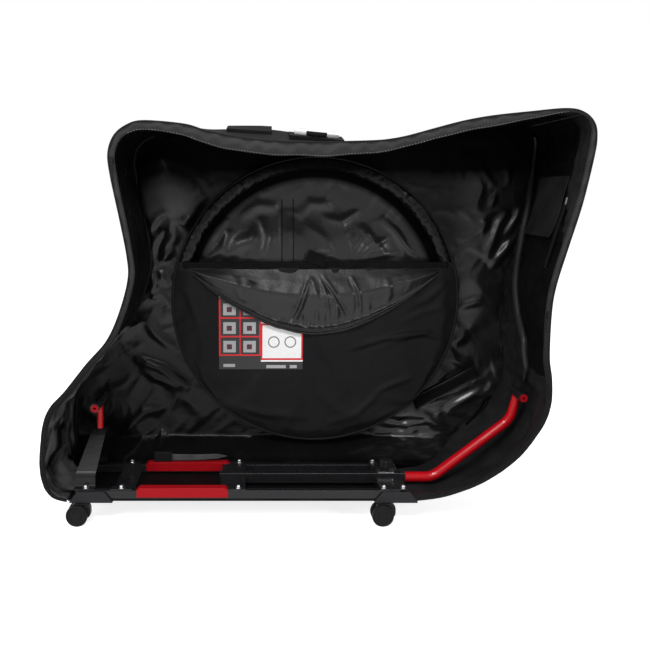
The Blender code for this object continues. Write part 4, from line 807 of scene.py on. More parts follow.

# %% [markdown]
# The satin lining is shiny and crumpled. On the back panel its polish and tone change from
# place to place, and light and shade are painted into its colour: a pad at the upper rear and
# a pleated corner painted paler as painted highlights, a painted shadow in a strip under the
# top and painted shade along its foot. Faces could get a material each, but their borders would
# show as steps, so the finishes fade into each other inside one material.

# %% Satin
def make_satin(name, dark, light, shine, polish, depth, pad=None, mouth=False):
    """Shiny nylon with fine crumples that come and go.

    On the back panel a pad and a pleated corner are painted paler, as painted highlights, and
    a painted shadow darkens its upper part and painted shade its foot.
    In the pocket's mouth it is dark where the hoop shades it.
    """
    recipe = Recipe(name)
    x, y, z = recipe.axes()
    patch = recipe.noise(7, 2)
    large = recipe.noise(24, 3, kind="RIDGED_MULTIFRACTAL", distortion=0.5)
    small = recipe.noise(85, 3, kind="RIDGED_MULTIFRACTAL", distortion=0.7)
    crumple = (large * 0.5 + small * 0.16) * (patch * patch * 2.2)
    colour = recipe.mix(patch, dark, light)
    roughness = polish + patch * 0.14
    coat = 0.0
    if pad:
        dx, dz = (x - pad[0]) / pad[2], (z - pad[1]) / pad[3]
        away = dx * dx + dz * dz
        inner = recipe.clipped((1 - away + (large - 0.5) * 0.5) * 1.6)
        # The pad is painted paler, a painted highlight on the padded mound, with a fine grain in
        # it.
        painted_pad_highlight = recipe.noise(34, 4)
        colour = recipe.mix(inner, colour, recipe.mix(painted_pad_highlight, (0.016, 0.016, 0.0165),
                                                      (0.044, 0.044, 0.045)))
        roughness = roughness + inner * 0.3
        below = recipe.clipped((0.222 + (x - 0.306) * 0.537 - z) / 0.02)
        corner = below * recipe.clipped((x - 0.14) / 0.12)
        pleats = recipe.noise(60, 3, recipe.stretched(0.28, 1, 1), "RIDGED_MULTIFRACTAL", 0.6)
        crumple = crumple + corner * pleats * 0.30
        # Painted highlight: the corner's pleats are painted paler where their relief rises.
        colour = recipe.mix(corner, colour, recipe.mix(pleats, (0.006, 0.006, 0.0063),
                                                       (0.026, 0.026, 0.0265)))
        rear = recipe.clipped((-0.27 - x) / 0.05) * recipe.clipped((z - 0.33) / 0.10)
        front = recipe.clipped((x - 0.38) / 0.05) * (1 - below)
        wrinkles = recipe.noise(46, 3, recipe.stretched(1, 1, 0.45), "RIDGED_MULTIFRACTAL", 0.9)
        crumple = crumple + front * wrinkles * 0.16
        coat = corner * 0.55 + rear * 0.22 + front * 0.25
    made = recipe.done(colour, roughness, crumple, 0.6, depth, Specular_IOR_Level=shine,
                       Coat_Weight=coat, Coat_Roughness=0.24)
    # The near black of the painted shadows and painted shade below.
    black = (0.0012, 0.0012, 0.0013, 1)
    if pad:
        # Painted shadow: under the top wall the satin fades to near black, but not on the pad.
        high = recipe.clipped((z - 0.768) / 0.040 + (large - 0.5) * 0.7)
        high = high * recipe.clipped((away - 1.15) * 2.5)
        # Painted shade: along the foot, where the back meets the floor, it fades to near black.
        foot = recipe.clipped((0.092 - z) / 0.012)
        recipe.fade(recipe.clipped(high + foot), black, 0.02)
    if mouth:
        dx, dz = x - POCKET_X, z - POCKET_Z
        radius = (dx * dx + dz * dz) ** 0.5
        recipe.fade(recipe.clipped((radius - 0.296) / 0.016), black, 0.01)
    return made


PAD_PLACE = (-0.345, 0.745, 0.092, 0.082)
POCKET_X, POCKET_Z, POCKET_RADIUS = 0.033, 0.490, 0.362
MATERIALS.update({
    "satin": make_satin("satin nylon, painted light and shade", (0.002, 0.002, 0.0023), (0.005, 0.005, 0.0055),
                        0.12, 0.22, 0.0055, PAD_PLACE),
    "flap_satin": make_satin("flap satin", (0.006, 0.006, 0.0063), (0.013, 0.013, 0.0135),
                             0.24, 0.28, 0.0055),
    # A paler copy of the satin, painted light in the mouth, with a painted shadow by the hoop.
    "mouth_satin_painted_light_and_shade": make_satin("mouth satin, painted light and shade", (0.005, 0.005, 0.0053), (0.018, 0.018, 0.0185),
                              0.26, 0.24, 0.0065, mouth=True),
    "roll_satin": make_satin("roll satin", (0.009, 0.009, 0.0095), (0.018, 0.018, 0.0185),
                             0.14, 0.30, 0.0025),
})
print("satins:", len(MATERIALS))

# %% [markdown]
# The walls have a duller lining. One recipe makes three of them, because they differ only in
# tone and in how far their pale spots stand out. In the crinkled lining the pale spots are
# painted highlights, for the light that crinkles too fine to model would catch.

# %% Wall linings
def make_lining(name, dark, light, shine, contrast=1.0):
    """Duller wall lining with soft crumples; contrast turns pale tone into painted highlights."""
    recipe = Recipe(name)
    crumple = recipe.noise(22, 4, kind="RIDGED_MULTIFRACTAL", distortion=0.5)
    thread = weave(recipe, LINING_THREAD)
    tone = recipe.noise(13, 4, distortion=0.6)
    tone_and_painted_highlights = recipe.clipped((tone - 0.5) * contrast + 0.4)
    colour = recipe.mix(tone_and_painted_highlights, dark, light)
    return recipe.done(colour, 0.36 + tone * 0.16, crumple * 0.8 + thread * 0.01, 0.5, 0.004,
                       Specular_IOR_Level=shine)


MATERIALS.update({
    "lining": make_lining("wall lining", (0.002, 0.002, 0.0023), (0.006, 0.006, 0.0065), 0.03),
    # Its pale spots are painted highlights, for light caught by crinkles too fine to model.
    "crinkled": make_lining("crinkled lining, painted highlights", (0.002, 0.002, 0.0023), (0.120, 0.120, 0.123),
                            0.10, 3.6),
    "plain_cloth": make_lining("plain cloth", (0.008, 0.008, 0.0085), (0.020, 0.020, 0.021),
                               0.04, 1.8),
})
print("with the linings:", len(MATERIALS))

# %% [markdown]
# The pocket's front is a ripstop, a thin cloth with a heavier thread every few millimetres.
# The grid could be modelled, but it is thinner than a hair, so sine waves with a high power
# draw it: they are near 0 but for a narrow peak.

# %% Ripstop and canvas
def make_ripstop():
    """Dull pocket fabric with a faint grid of heavier threads."""
    recipe = Recipe("ripstop nylon")
    x, y, z = recipe.axes()
    pitch = math.pi / 0.006
    lines = (abs((x * pitch).wave()) ** 12) + (abs((z * pitch).wave()) ** 12)
    soft = recipe.noise(16, 3, distortion=0.3)
    colour = recipe.mix(soft * 0.5 + lines * 0.35, (0.004, 0.004, 0.0045), (0.011, 0.011, 0.012))
    return recipe.done(colour, 0.46 + soft * 0.12, soft + lines * 0.05, 0.35, 0.004,
                       Specular_IOR_Level=0.05)


def make_canvas():
    """The coarse outer shell."""
    recipe = Recipe("shell canvas")
    thread = weave(recipe, CANVAS_THREAD)
    soft = recipe.noise(18, 4)
    colour = recipe.mix(soft * 0.8 + thread * 0.1, (0.007, 0.007, 0.0075), (0.018, 0.018, 0.019))
    return recipe.done(colour, 0.62 + soft * 0.12, soft * 0.8 + thread * 0.12, 0.4, 0.002,
                       Specular_IOR_Level=0.02)


MATERIALS.update({"ripstop": make_ripstop(), "canvas": make_canvas()})
print("with ripstop and canvas:", len(MATERIALS))

# %% [markdown]
# Tapes, webbing, piping and thread are all ribbed, and differ in the pitch of the ribs and in
# tone. One recipe with those numbers is easier to keep alike than six.

# %% Tapes, piping and thread
def make_tape(name, dark, light, pitch=0.002, shine=0.06, low_tone=None):
    """Binding tape or webbing, with ribs. low_tone darkens it towards the base."""
    recipe = Recipe(name)
    x, y, z = recipe.axes()
    ribs = ((x + z * 0.7 + y * 0.5) * (2 * math.pi / pitch)).wave()
    soft = recipe.noise(40, 3)
    colour = recipe.mix(soft, dark, light)
    if low_tone:
        share = (z - low_tone[0]) / (low_tone[1] - low_tone[0])
        colour = recipe.mix(recipe.clipped(share), (0.005, 0.005, 0.0055), colour)
    return recipe.done(colour, 0.6 + soft * 0.15, soft * 0.6 + ribs * 0.15, 0.35, 0.0015,
                       Specular_IOR_Level=shine)


MATERIALS.update({
    "rim": make_tape("rim tape", (0.014, 0.014, 0.0145), (0.034, 0.034, 0.035), 0.002, 0.06,
                     (0.34, 0.60)),
    "webbing": make_tape("black webbing", (0.002, 0.002, 0.0022), (0.006, 0.006, 0.0063),
                         shine=0.03),
    "grey_webbing": make_tape("grey webbing", (0.030, 0.030, 0.031), (0.075, 0.075, 0.077)),
    "piping": make_tape("piping", (0.004, 0.004, 0.0045), (0.012, 0.012, 0.0125), 0.003),
    "thread": make_tape("thread", (0.10, 0.10, 0.103), (0.20, 0.20, 0.204), 0.0008),
    "black_thread": make_tape("black thread", (0.010, 0.010, 0.011), (0.024, 0.024, 0.025),
                              0.0008),
})
print("fabrics:", ", ".join(sorted(MATERIALS)))

# %% [markdown]
# ## Hard materials
#
# Paint, zinc, rubber and moulded plastic are never quite even. Wear could be painted by hand
# where hands and straps rub. Small marks all over were chosen, as the parts look little used:
# faint scratches, a grain in the moulding, dust on the castors.

# %% Hard materials
def make_hard(name, dark, light, roughness, grain=60, strength=0.12, **rest):
    """A hard surface whose colour and polish vary a little."""
    recipe = Recipe(name)
    spots = recipe.noise(grain, 4)
    scratches = recipe.noise(30, 3, recipe.stretched(1, 9, 9))
    colour = recipe.mix(spots * 0.7 + scratches * 0.3, dark, light)
    return recipe.done(colour, roughness + scratches * 0.14, spots * 0.6 + scratches * 0.5,
                       strength, 0.0004, **rest)


MATERIALS.update({
    "rail_black": make_hard("black rail", (0.005, 0.005, 0.006), (0.012, 0.012, 0.013), 0.20,
                            Specular_IOR_Level=0.20),
    "bridge_black": make_hard("black bracket", (0.004, 0.004, 0.0045), (0.009, 0.009, 0.010),
                              0.20, Specular_IOR_Level=0.15),
    "red_paint": make_hard("red paint", (0.33, 0.0015, 0.005), (0.43, 0.003, 0.008), 0.18,
                           Specular_IOR_Level=0.16, Coat_Weight=0.10),
    "red_plastic": make_hard("red plastic", (0.22, 0.002, 0.005), (0.29, 0.004, 0.008), 0.36,
                             180, 0.2, Specular_IOR_Level=0.10),
    "plate_black": make_hard("powder coat", (0.008, 0.008, 0.009), (0.018, 0.018, 0.020), 0.50,
                             400, 0.5, Specular_IOR_Level=0.12),
    "steel": make_hard("zinc", (0.40, 0.40, 0.41), (0.64, 0.64, 0.65), 0.22, Metallic=1.0),
    "hard_plastic": make_hard("black plastic", (0.004, 0.004, 0.005), (0.011, 0.011, 0.012),
                              0.34, 220, 0.25, Specular_IOR_Level=0.10),
    "wheel_rubber": make_hard("castor rubber", (0.004, 0.004, 0.0045), (0.011, 0.011, 0.012),
                              0.46, 90, 0.3, Specular_IOR_Level=0.07),
    "black_rubber": make_hard("black rubber", (0.004, 0.004, 0.004), (0.010, 0.010, 0.010),
                              0.55, 300, 0.5, Specular_IOR_Level=0.02),
    "grey_rod": make_hard("grey rod", (0.07, 0.07, 0.072), (0.13, 0.13, 0.133), 0.40),
})
print("with the hard materials:", len(MATERIALS))

# %% [markdown]
# ## The printed card
#
# A card with a printed guide sits on the pocket. An image would be the usual way to print it.
# Its squares, rings and rules are so plain that their places are enough, and they stay sharp
# at any distance. The card holds no lettering.

# %% Marks by their places
def inside(value, low, high):
    """1 where a value is between two limits, or else 0."""
    return value.over(low) * (1 - value.over(high))


def boxed(recipe, x, z, boxes):
    """1 inside any of the boxes, given as left, right, low and high."""
    total = 0.0
    for left, right, low, high in boxes:
        total = inside(x, left, right) * inside(z, low, high) + total
    return recipe.clipped(total)


CARD_DARK = [(-.212, -.104, .308, .500), (-.104, .004, .308, .334)]
CARD_RULES = [
    (-.211, -.104, .349, .353), (-.211, -.104, .397, .401), (-.211, -.104, .445, .449),
    (-.211, -.207, .349, .497), (-.1585, -.1555, .349, .497), (-.108, -.104, .349, .497),
    (-.104, .003, .338, .343), (-.104, .003, .428, .433), (-.104, -.100, .338, .433),
    (-.001, .003, .338, .433)]
CARD_STEPS = [(.051 * column, .048 * row) for column in range(2) for row in range(3)]
CARD_PALE = [(-.200 + a, -.168 + a, .358 + b, .388 + b) for a, b in CARD_STEPS]
CARD_PALE += [(-.200, -.170, .320, .328), (-.090, -.040, .317, .325),
              (-.030, -.012, .317, .325)]
CARD_MARKS = [(-.191 + a, -.178 + a, .366 + b, .379 + b) for a, b in CARD_STEPS]
CARD_RINGS = (-0.071, -0.029)
print("card: %d rules and %d marks" % (len(CARD_RULES), len(CARD_MARKS)))

# %% [markdown]
# The real card is glossy paper, printed in black, grey and red. Each ink is mixed in over
# the one before, as on a press, because that needs no more than a place for each mark.

# %% The card's print
def make_card():
    """A printed card of two leaves, drawn by their places: squares, rings and red rules."""
    recipe = Recipe("printed card")
    x, y, z = recipe.axes()
    paper = recipe.noise(120, 2)
    colour = recipe.mix(paper, (0.62, 0.62, 0.62), (0.76, 0.76, 0.76))
    for boxes, ink in ((CARD_DARK, (0.012, 0.012, 0.013)), (CARD_PALE, (0.30, 0.30, 0.31)),
                       (CARD_MARKS, (0.05, 0.008, 0.010)), (CARD_RULES, (0.50, 0.010, 0.016))):
        colour = recipe.mix(boxed(recipe, x, z, boxes), colour, ink)
    for centre in CARD_RINGS:
        dx, dz = x - centre, z - 0.385
        away = dx * dx + dz * dz
        colour = recipe.mix(inside(away, 0.012 ** 2, 0.015 ** 2), colour, (0.12, 0.12, 0.13))
    return recipe.done(colour, 0.32 + paper * 0.1, paper, 0.1, 0.0003, Specular_IOR_Level=0.3)


MATERIALS["card_print"] = make_card()
print("materials:", len(MATERIALS))

# %% [markdown]
# ## Hard parts keep their shapes
#
# The rails, castors, brackets and sliders of the real bag are hard, and the measured model has
# them right already. They could be modelled again with more detail, but a good material does
# more for a small part. Each one gets the material of its slot.

# %% Repaint the measured pieces
SLOT_FINISH = {
    "shell_fabric": "canvas", "rim_tape": "rim", "lining_satin": "satin",
    "pocket_ripstop": "ripstop", "webbing": "webbing", "grey_webbing": "grey_webbing",
}
PIECE_FINISH = {"rear_bridge": "bridge_black", "handle_base": "black_rubber"}
for part in frame["record"]["subparts"]:
    node = frame["nodes"][part["node"]]
    name = PIECE_FINISH.get(part["node"], part["material_slot"])
    finish = MATERIALS[SLOT_FINISH.get(name, name)]
    for place in node.material_slots:
        place.material = finish

# %% [markdown]
# ## The side wall
#
# The wall is three sewn lengths: the rear end, the top and the front end.
# It could be one strip, but its seams would then have to be faked. So each length is a sandwich
# of its own, with shell canvas outside and lining inside, and it buckles between its seams.
#
# The deep folds of the front length come from a table, a row for each: its path in depth and
# height, its width and its height.

# %% Folds of the front wall
WALL_FOLDS = [
    ([(.107, .650), (.150, .615), (.176, .592)], .010, .008),
    ([(.096, .622), (.140, .575), (.176, .540)], .010, .008),
    ([(.060, .560), (.120, .525), (.174, .505)], .009, .007),
    ([(.000, .455), (.090, .438), (.168, .425)], .009, .006),
    ([(-.010, .362), (.070, .352), (.160, .346)], .008, .006),
    ([(-.095, .642), (-.068, .620), (-.045, .600)], .010, .009),
    ([(-.070, .640), (-.045, .612)], .007, .007),
    ([(-.153, .612), (-.123, .590), (-.088, .562)], .004, .004, 1.2),
    ([(-.158, .586), (-.125, .564)], .004, .004, 1.2),
    ([(-.118, .554), (-.055, .526)], .004, .004, 1.2),
    ([(-.150, .480), (-.100, .440), (-.060, .380)], .012, .005),
]
print("front wall: %d folds" % len(WALL_FOLDS))

# %% [markdown]
# The rear length is crushed into broad facets, with hardly a smooth place between them.

# %% Facets of the rear wall
REAR_FACETS = [
    ([(-.150, .330), (-.040, .300), (.060, .330)], .016, .009),
    ([(-.130, .240), (-.020, .262), (.100, .225)], .014, .009),
    ([(-.060, .158), (.035, .142), (.165, .118)], .020, .016),
    ([(-.010, .120), (.060, .112), (.120, .104)], .012, .009),
    ([(-.160, .134), (-.090, .105), (-.025, .080)], .010, .008),
    ([(-.080, .360), (-.060, .250), (-.090, .150)], .012, .007, 1.3),
    ([(-.043, .228), (.030, .216), (.107, .208)], .012, .009),
    ([(.037, .088), (.090, .080), (.140, .076)], .010, .006),
    ([(.030, .400), (.050, .360), (.020, .310)], .014, .008),
    ([(-.120, .410), (-.070, .395), (-.010, .380)], .016, .009),
    ([(.060, .470), (.100, .430), (.120, .380)], .012, .007),
    ([(-.100, .500), (-.060, .460), (-.050, .420)], .012, .006),
]
print("rear wall: %d facets" % len(REAR_FACETS))

# %% [markdown]
# Satin covers the deeper part of the front wall, and a seam that wanders with the height parts
# it from the plain lining. A second material on some faces is enough here, because a thick
# welt hides the border.

# %% Where the finishes of a wall change
GRID = 0.010
SHARES = np.linspace(0, 1, 37)
SATIN_ROWS = [(0.00, 1.0), (.290, 1.0), (.305, .70), (.317, .42), (.360, .36), (.419, .355),
              (.469, .50), (.540, .634), (.599, .723), (.672, .817), (.761, .90), (.83, .97),
              (.90, 1.0)]


def edge_fade(count, reach):
    """Rises from 0 at both ends of a row to 1 in its middle."""
    place = np.arange(count)
    return np.clip(np.minimum(place, count - 1 - place) / reach, 0, 1)


def seam_share(z):
    """How deep in the front wall the satin begins, at a height."""
    return read(SATIN_ROWS, z)


def wall_finishes(line):
    """The number of the finish of each face of a wall's lining."""
    middle = (SHARES[1:] + SHARES[:-1]) / 2
    height = (line[1:, 1] + line[:-1, 1]) / 2
    ahead = (line[1:, 0] > 0)[:, None]
    shiny = (middle[None, :] > seam_share(height)[:, None]) & ahead
    # The gathers near the open edge get the paler plain cloth: a painted highlight on real
    # gathers.
    gathers_painted_paler = (middle < 0.20 * np.clip((height[:, None] - 0.62) / 0.16, 0, 1)) & ahead
    # The low rear gets the crinkled lining, whose pale spots are painted highlights.
    rear_painted_highlights = (height[:, None] < 0.44) & (line[1:, 0] < 0)[:, None]
    plain = ((height < 0.36)[:, None] & ahead) | gathers_painted_paler
    return np.where(rear_painted_highlights, 4, np.where(plain, 3, np.where(shiny, 1, 2)))


print("satin begins at %.0f%% of the depth half way up" % (100 * seam_share(0.5)))

# %% [markdown]
# The canvas outside sags a little and puckers at its seams, but lies flat under the rubber pad
# on the top. The lining inside is drawn into its folds and then let go in the simulation.

# %% The two faces of a wall
def wall_shell(line, flat, fade, seed):
    """The canvas outside of a wall."""
    seam = np.exp(-np.minimum(SHARES, 1 - SHARES) / 0.07)[None, :]
    pucker = creased(flat * (1, 0.35, 1), 0.028, seed) * seam
    sag = rough(flat, 0.16, seed + 1) * 0.5 + 0.5
    keep = 1 - np.exp(-((flat[..., 0] + 0.06) / 0.14) ** 4) * (flat[..., 1] < 0.02) * (
        flat[..., 2] > 0.8)
    lift = -0.0006 - keep * (0.003 * sag + 0.0022 * pucker) * np.maximum(fade, 0.3)
    return wall_points(line, SHARES, lift)


def wall_lining(line, flat, fade, folds, fold_height, gather_height, growth, seed):
    """The lining inside of a wall, kept within 4.5 to 32 mm of the outline."""
    soft = rough(flat * (1, 0.6, 1), 0.13, seed + 2) + 0.5 * creased(flat, 0.09, seed + 3)
    gather = creased(flat * (1, 0.16, 1), 0.017, seed + 4) * np.exp(-SHARES / 0.20)[None, :]
    sideways = flat[..., (1, 1, 2)]
    drawn = sum((fold(sideways, *row) for row in folds), np.zeros(flat.shape[:2]))
    lift = -WALL - np.maximum(fold_height * soft + drawn + gather_height * gather, 0) * fade
    inner = wall_points(line, SHARES, lift)
    moved = settle(inner, sewn_edges(inner), growth)
    out = np.stack([line[:, 2], np.zeros(len(line)), line[:, 3]], axis=1)[:, None]
    away = ((moved - flat) * out).sum(axis=2, keepdims=True)
    return moved - out * (away - np.clip(away, -0.032, -0.0045))


print("a wall is %d points deep" % len(SHARES))

# %% [markdown]
# One function sews the two faces together and is called for the three lengths, each with its
# own folds and amounts.

# %% The three lengths of wall
def build_wall(name, start, end, folds, fold_height, gather_height, growth, seed):
    """One length of wall, from one place on the outline to another."""
    line = stations(start + 0.0002, end - 0.0002, GRID)
    flat = wall_points(line, SHARES, 0.0)
    fade = np.outer(edge_fade(len(line), 4), edge_fade(len(SHARES), 4))
    outer = wall_shell(line, flat, fade, seed)
    inner = wall_lining(line, flat, fade, folds, fold_height, gather_height, growth, seed)
    made = sandwich(name, outer, inner, ["canvas", "satin", "lining", "plain_cloth", "crinkled",
                                         "lining"], 1, wall_finishes(line))
    return made


WALL_ENDS = [0.0, CORNER_WAYS[0], CORNER_WAYS[1], outline_way[-1]]
WALL_DETAIL = {
    "rear_wall": ("rear_gusset", REAR_FACETS, 0.004, 0.004, 0.010, 11),
    "top_wall": ("top_gusset", [], 0.004, 0.004, 0.010, 23),
    "front_wall": ("front_gusset", WALL_FOLDS, 0.003, 0.012, 0.008, 37),
}
for (name, detail), start, end in zip(WALL_DETAIL.items(), WALL_ENDS, WALL_ENDS[1:]):
    build_wall(name, start, end, *detail[1:])
    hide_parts(detail[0])

# %% [markdown]
# ## The back panel
#
# The back fills the outline, and its satin lining carries the folds that catch the light.
# A simulation alone would put them anywhere. Those that a viewer would miss come from tables,
# read like the ones of the walls: a path of (x, z) places, a width and a height.
# First come the long diagonals on the right, which hang from the top of the front wall.

# %% Folds on the right
RIGHT_FOLDS = [
    ([(.526, .718), (.502, .681), (.488, .643), (.470, .592)], .012, .009),
    ([(.563, .721), (.540, .688), (.511, .640)], .010, .008),
    ([(.559, .656), (.530, .630), (.506, .600), (.484, .569)], .011, .010, 3.0),
    ([(.583, .729), (.572, .693), (.567, .656)], .008, .007),
    ([(.468, .698), (.457, .658)], .010, .006),
    ([(.545, .587), (.523, .546), (.509, .520)], .005, .005, 1.3),
    ([(.550, .572), (.536, .541), (.528, .510)], .005, .004, 1.3),
    ([(.493, .758), (.480, .729)], .006, .005),
]
print("right: %d folds" % len(RIGHT_FOLDS))

# %% [markdown]
# The lower front corner is pulled into thin pleats by a strap that is sewn across it.

# %% Pleats of the front corner
CORNER_FOLDS = [
    ([(.497, .270), (.398, .232), (.299, .186)], .010, -.006),
    ([(.477, .252), (.419, .216), (.380, .193)], .011, .008),
    ([(.506, .255), (.472, .237)], .004, .005, 1.5),
    ([(.384, .190), (.410, .188), (.438, .184)], .005, .005, 1.5),
    ([(.334, .172), (.349, .161), (.386, .146)], .006, .006),
    ([(.356, .188), (.378, .176)], .007, .005),
    ([(.268, .155), (.308, .141)], .008, .005),
    ([(.253, .136), (.300, .127), (.397, .129)], .005, .006, 1.4),
    ([(.245, .125), (.295, .116), (.331, .117), (.382, .116)], .005, .006, 1.4),
    ([(.224, .112), (.281, .106), (.347, .109)], .005, .006, 1.4),
    ([(.291, .098), (.341, .093)], .006, .006),
    ([(.225, .077), (.297, .074), (.321, .061)], .006, .006),
    ([(.119, .100), (.190, .112), (.262, .116)], .007, .006),
    ([(.100, .118), (.172, .124), (.240, .134)], .007, .005),
    ([(.388, .337), (.414, .322), (.448, .322)], .008, .008, 1.6),
    ([(.397, .374), (.434, .402)], .012, .007),
    ([(.359, .271), (.384, .300)], .007, .004),
    ([(.405, .470), (.470, .490)], .010, .006),
]
CORNER_PLEATS = [
    ([(.212, .176), (.260, .166), (.330, .170)], .0045, -.006, 1.4),
    ([(.200, .150), (.270, .146), (.345, .156)], .0040, -.006, 1.4),
    ([(.170, .128), (.240, .118), (.300, .110)], .0060, -.008, 1.6),
    ([(.300, .205), (.350, .190), (.395, .172)], .0040, -.006, 1.4),
    ([(.330, .225), (.400, .240), (.460, .262)], .0070, .007, 1.6),
]
print("corner: %d pleats" % len(CORNER_FOLDS + CORNER_PLEATS))

# %% [markdown]
# At the upper rear the lining is pinched to a point, from which creases run out like rays.
# Longer folds cross the lower rear.

# %% Folds at the rear
REAR_FOLDS = [
    ([(-.436, .335), (-.366, .306), (-.287, .252)], .013, .010),
    ([(-.425, .352), (-.350, .330), (-.280, .278)], .010, -.006),
    ([(-.418, .303), (-.367, .277), (-.315, .252)], .009, .007),
    ([(-.487, .070), (-.441, .101), (-.376, .159)], .006, .005, 1.4),
    ([(-.482, .126), (-.440, .155)], .007, .006),
    ([(-.460, .150), (-.410, .190), (-.350, .200)], .012, .006),
    ([(-.356, .142), (-.372, .112)], .007, .005),
    ([(-.324, .701), (-.344, .711), (-.365, .701), (-.388, .671)], .007, .008, 1.6),
    ([(-.328, .698), (-.337, .673), (-.345, .648)], .005, .007, 1.5),
    ([(-.322, .698), (-.304, .683), (-.285, .667)], .005, .008, 1.5),
    ([(-.332, .701), (-.360, .658), (-.392, .612)], .009, .007),
    ([(-.305, .703), (-.289, .691), (-.265, .687)], .009, .009),
    ([(-.324, .696), (-.330, .643), (-.346, .612)], .012, .009),
    ([(-.340, .656), (-.353, .617), (-.346, .587)], .009, .007),
    ([(-.399, .617), (-.390, .597)], .004, .005, 1.3),
    ([(-.367, .587), (-.344, .602), (-.328, .620)], .009, .007),
    ([(-.388, .554), (-.378, .528), (-.391, .502)], .010, .008),
    ([(-.389, .494), (-.371, .497)], .006, .007),
    ([(-.362, .566), (-.355, .530)], .009, .006),
    ([(-.428, .587), (-.419, .541), (-.425, .494)], .010, .006),
    ([(-.400, .440), (-.380, .400), (-.330, .360)], .012, .007),
]
print("rear: %d folds" % len(REAR_FOLDS))

# %% [markdown]
# Inside the round pocket's mouth the satin wrinkles round two straight seams.

# %% Wrinkles in the pocket's mouth
MOUTH_FOLDS = [
    ([(-.051, .720), (-.050, .585)], .004, .003, 1.2),
    ([(-.023, .720), (-.022, .585)], .004, .003, 1.2),
    ([(-.119, .690), (-.132, .585)], .012, .004),
    ([(.096, .706), (.128, .585)], .003, .003, 1.2),
    ([(.128, .590), (.186, .630), (.229, .653)], .006, .005),
    ([(.123, .590), (.153, .643), (.178, .673)], .005, .004, 1.4),
    ([(.120, .585), (.190, .602), (.250, .610)], .006, .005),
    ([(-.196, .590), (-.162, .630), (-.110, .655)], .016, .006),
    ([(.010, .680), (.055, .650), (.080, .600)], .010, .004),
    ([(.030, .610), (.075, .606), (.110, .590)], .006, .004),
    ([(-.270, .600), (-.235, .650), (-.190, .700)], .012, .007),
    ([(-.245, .590), (-.200, .625), (-.185, .670)], .009, .006),
    ([(-.160, .700), (-.110, .730), (-.060, .725)], .012, .007),
    ([(-.100, .600), (-.090, .650), (-.105, .700)], .009, .006),
    ([(-.010, .700), (.020, .735), (.080, .730)], .010, .006),
    ([(.150, .680), (.180, .640), (.215, .600)], .010, .007),
    ([(.200, .700), (.240, .660), (.280, .600)], .010, .007),
    ([(.050, .700), (.100, .690), (.150, .720)], .009, .006),
]
BACK_FOLDS = RIGHT_FOLDS + CORNER_FOLDS + REAR_FOLDS + MOUTH_FOLDS + CORNER_PLEATS
MOUNDS = [((-.345, .758), (.078, .070), .026), ((-.400, .640), (.030, .110), .008),
          ((-.43, .14), (.05, .04), .012), ((-.48, .20), (.06, .05), .006),
          ((.46, .56), (.05, .12), .008), ((.34, .15), (.07, .05), .008),
          ((.000, .600), (.250, .095), .020)]
WELT = [(.350, .062), (.384, .104), (.431, .153), (.468, .200), (.482, .229), (.515, .236)]
print("back panel: %d folds" % len(BACK_FOLDS))

# %% [markdown]
# The panel is one grid inside the outline's three lengths. Its height field adds the folds, the
# mounds and a little looseness, and is damped at the edges, at the pocket's ring and under the
# strap, where stitches hold the lining down.

# %% The lining before the simulation
ROWS, COLUMNS = 128, 158
fine = stations(0, outline_way[-1], 0.004)
sides = [fine[(fine[:, 5] >= a) & (fine[:, 5] <= b)][:, :2]
         for a, b in zip(WALL_ENDS, WALL_ENDS[1:])]
flat = coons([sides[0][0], sides[2][-1]], sides[1], sides[0], sides[2][::-1], ROWS, COLUMNS)
back_grid = upright(flat, far_edge(flat[..., 1]))
from_pocket = np.hypot(back_grid[..., 0] - POCKET_X, back_grid[..., 2] - POCKET_Z)
height = sum(fold(back_grid, *row) for row in BACK_FOLDS)
height = height + sum(swell(back_grid, *row) for row in MOUNDS)
loose = 0.0022 * rough(back_grid, 0.13, 51) + 0.0012 * creased(back_grid, 0.060, 53)
in_mouth = np.clip((POCKET_RADIUS - 0.04 - from_pocket) / 0.03, 0, 1)
height = height + np.maximum(loose, 0) * (1 - 0.6 * in_mouth)
edge = np.outer(edge_fade(ROWS, 3), edge_fade(COLUMNS, 3))
at_ring = np.clip(np.abs(from_pocket - POCKET_RADIUS) / 0.02, 0.15, 1)
under_strap = fold(back_grid, [(.270, .197), (.300, .2145), (.385, .260), (.490, .318)],
                   .024, .9, 4)
height = height * (1 - under_strap)
lining = back_grid.copy()
lining[..., 1] -= 0.001 + height * edge * at_ring
print("lining: its folds rise by up to %.0f mm" % (1000 * height.max()))

# %% [markdown]
# The ring of the pocket is sewn down like an edge. The simulation then buckles the cloth
# between its seams, and what moves too far is held back, so that nothing pokes through.

# %% The back panel itself
sewn = sewn_edges(lining) | (np.abs(from_pocket - POCKET_RADIUS) < 0.006)
back_lining = settle(lining, sewn, 0.007, 12)
back_lining[..., 1] = np.clip(back_lining[..., 1], back_grid[..., 1] - 0.040,
                              back_grid[..., 1] - 0.0008)
shell = back_grid.copy()
shell[..., 1] += PANEL - 0.0015 * (rough(back_grid, 0.14, 61) + 1) * edge
x, z = (back_grid[1:, 1:, k] for k in (0, 2))
plain = (z < WELT[-1][1]) & (x > np.interp(z, *np.array(WELT).T[::-1]))
# The mouth's faces get the paler satin: painted light, with a painted shadow by the hoop.
mouth = (from_pocket[1:, 1:] < POCKET_RADIUS - 0.01) & (z > .560)
back = sandwich("back_padding", shell, back_lining,
                ["canvas", "satin", "mouth_satin_painted_light_and_shade", "plain_cloth", "lining"], 1,
                np.where(plain, 3, np.where(mouth, 2, 1)))
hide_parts("back_panel")
print("back panel: %d by %d points" % (ROWS, COLUMNS))

